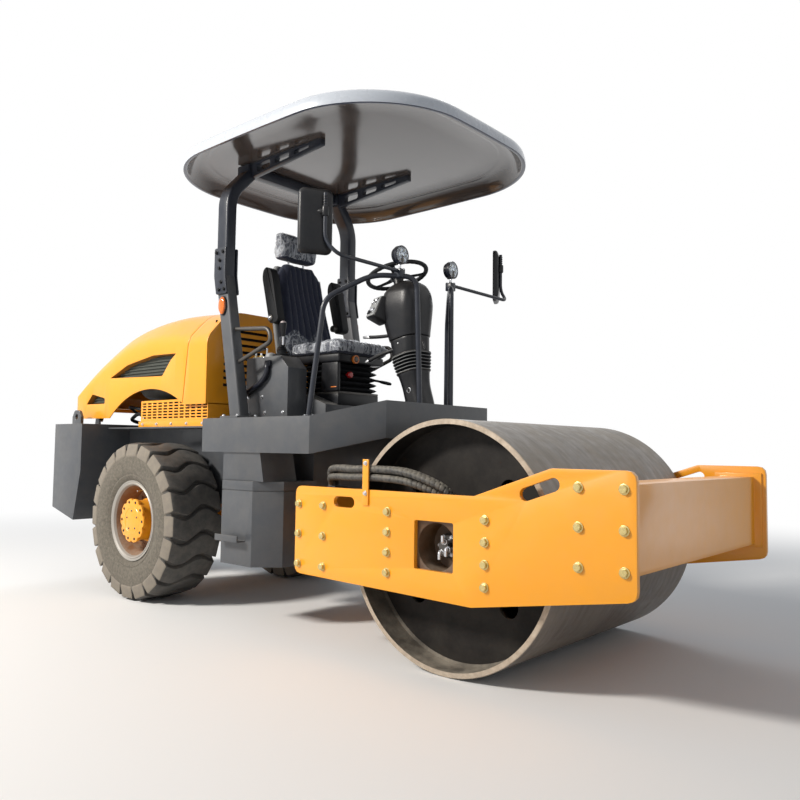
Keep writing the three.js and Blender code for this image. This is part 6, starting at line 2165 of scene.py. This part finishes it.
class ROLLER_OT_canopy(bpy.types.Operator):
    """Make the posts, the upper frame with its arms and the canopy"""

    bl_idname = "roller.canopy"
    bl_label = "Canopy and Posts"

    def execute(self, context):
        build_posts()
        build_upper_frame()
        build_canopy()
        return {"FINISHED"}


class ROLLER_OT_hood(bpy.types.Operator):
    """Make the hood with its vents, the bulkhead, the grilles and the engine's parts"""

    bl_idname = "roller.hood"
    bl_label = "Hood and Engine"

    def execute(self, context):
        build_hood()
        build_hood_front()
        build_grilles()
        build_engine()
        return {"FINISHED"}


class ROLLER_OT_rear_frame(bpy.types.Operator):
    """Round the platform, step boxes, chassis and counterweight"""

    bl_idname = "roller.rear_frame"
    bl_label = "Rear Frame"

    def execute(self, context):
        build_rear_frame()
        return {"FINISHED"}


class ROLLER_OT_seat(bpy.types.Operator):
    """Make the seat with its film, its suspension and base, and the console beside it"""

    bl_idname = "roller.seat"
    bl_label = "Seat"

    def execute(self, context):
        build_cushion()
        build_seat_back()
        build_headrest()
        build_armrests()
        build_suspension()
        build_seat_base()
        build_side_console()
        return {"FINISHED"}


class ROLLER_OT_controls(bpy.types.Operator):
    """Make the steering column and wheel"""

    bl_idname = "roller.controls"
    bl_label = "Steering Column"

    def execute(self, context):
        build_steering_console()
        build_steering_wheel()
        return {"FINISHED"}


class ROLLER_OT_rails(bpy.types.Operator):
    """Make the handrails with their mirrors and work lamps"""

    bl_idname = "roller.rails"
    bl_label = "Rails, Mirrors and Lamps"

    def execute(self, context):
        build_handrails()
        build_mirrors()
        build_work_lamps()
        return {"FINISHED"}


class ROLLER_OT_hydraulics(bpy.types.Operator):
    """Make the steering cylinders and the drum's motor"""

    bl_idname = "roller.hydraulics"
    bl_label = "Hydraulics"

    def execute(self, context):
        build_cylinders()
        build_drum_motor()
        return {"FINISHED"}


class ROLLER_OT_stage(bpy.types.Operator):
    """Set up the floor, lights and camera"""

    bl_idname = "roller.stage"
    bl_label = "Stage"

    def execute(self, context):
        build_stage()
        build_camera()
        return {"FINISHED"}


OPERATORS = (
    ROLLER_OT_finishes, ROLLER_OT_front_frame, ROLLER_OT_drum, ROLLER_OT_wheels, ROLLER_OT_rear_frame,
    ROLLER_OT_hood, ROLLER_OT_canopy, ROLLER_OT_seat, ROLLER_OT_controls, ROLLER_OT_rails,
    ROLLER_OT_hydraulics, ROLLER_OT_stage)


class ROLLER_PT_build(bpy.types.Panel):
    """Buttons that build the roller, in order"""

    bl_label = "Road Roller"
    bl_idname = "ROLLER_PT_build"
    bl_space_type = "VIEW_3D"
    bl_region_type = "UI"
    bl_category = "Roller"

    def draw(self, context):
        for operator in OPERATORS:
            self.layout.operator(operator.bl_idname)
        for group in (context.scene.roller_sizes, context.scene.roller_colours):
            for name in group.__annotations__:
                self.layout.prop(group, name)


CLASSES = (RollerSizes, RollerColours, *OPERATORS, ROLLER_PT_build)


def register():
    for item in CLASSES:
        bpy.utils.register_class(item)
    bpy.types.Scene.roller_sizes = PointerProperty(type=RollerSizes)
    bpy.types.Scene.roller_colours = PointerProperty(type=RollerColours)


def unregister():
    del bpy.types.Scene.roller_colours
    del bpy.types.Scene.roller_sizes
    for item in reversed(CLASSES):
        bpy.utils.unregister_class(item)


def main():
    register()
    bpy.context.scene.view_settings.view_transform = "Standard"
    bpy.ops.roller.stage()
    bpy.ops.roller.finishes()
    bpy.ops.roller.front_frame()
    bpy.ops.roller.drum()
    bpy.ops.roller.wheels()
    bpy.ops.roller.rear_frame()
    bpy.ops.roller.hood()
    bpy.ops.roller.canopy()
    bpy.ops.roller.seat()
    bpy.ops.roller.controls()
    bpy.ops.roller.rails()
    bpy.ops.roller.hydraulics()


if __name__ == "__main__":
    main()
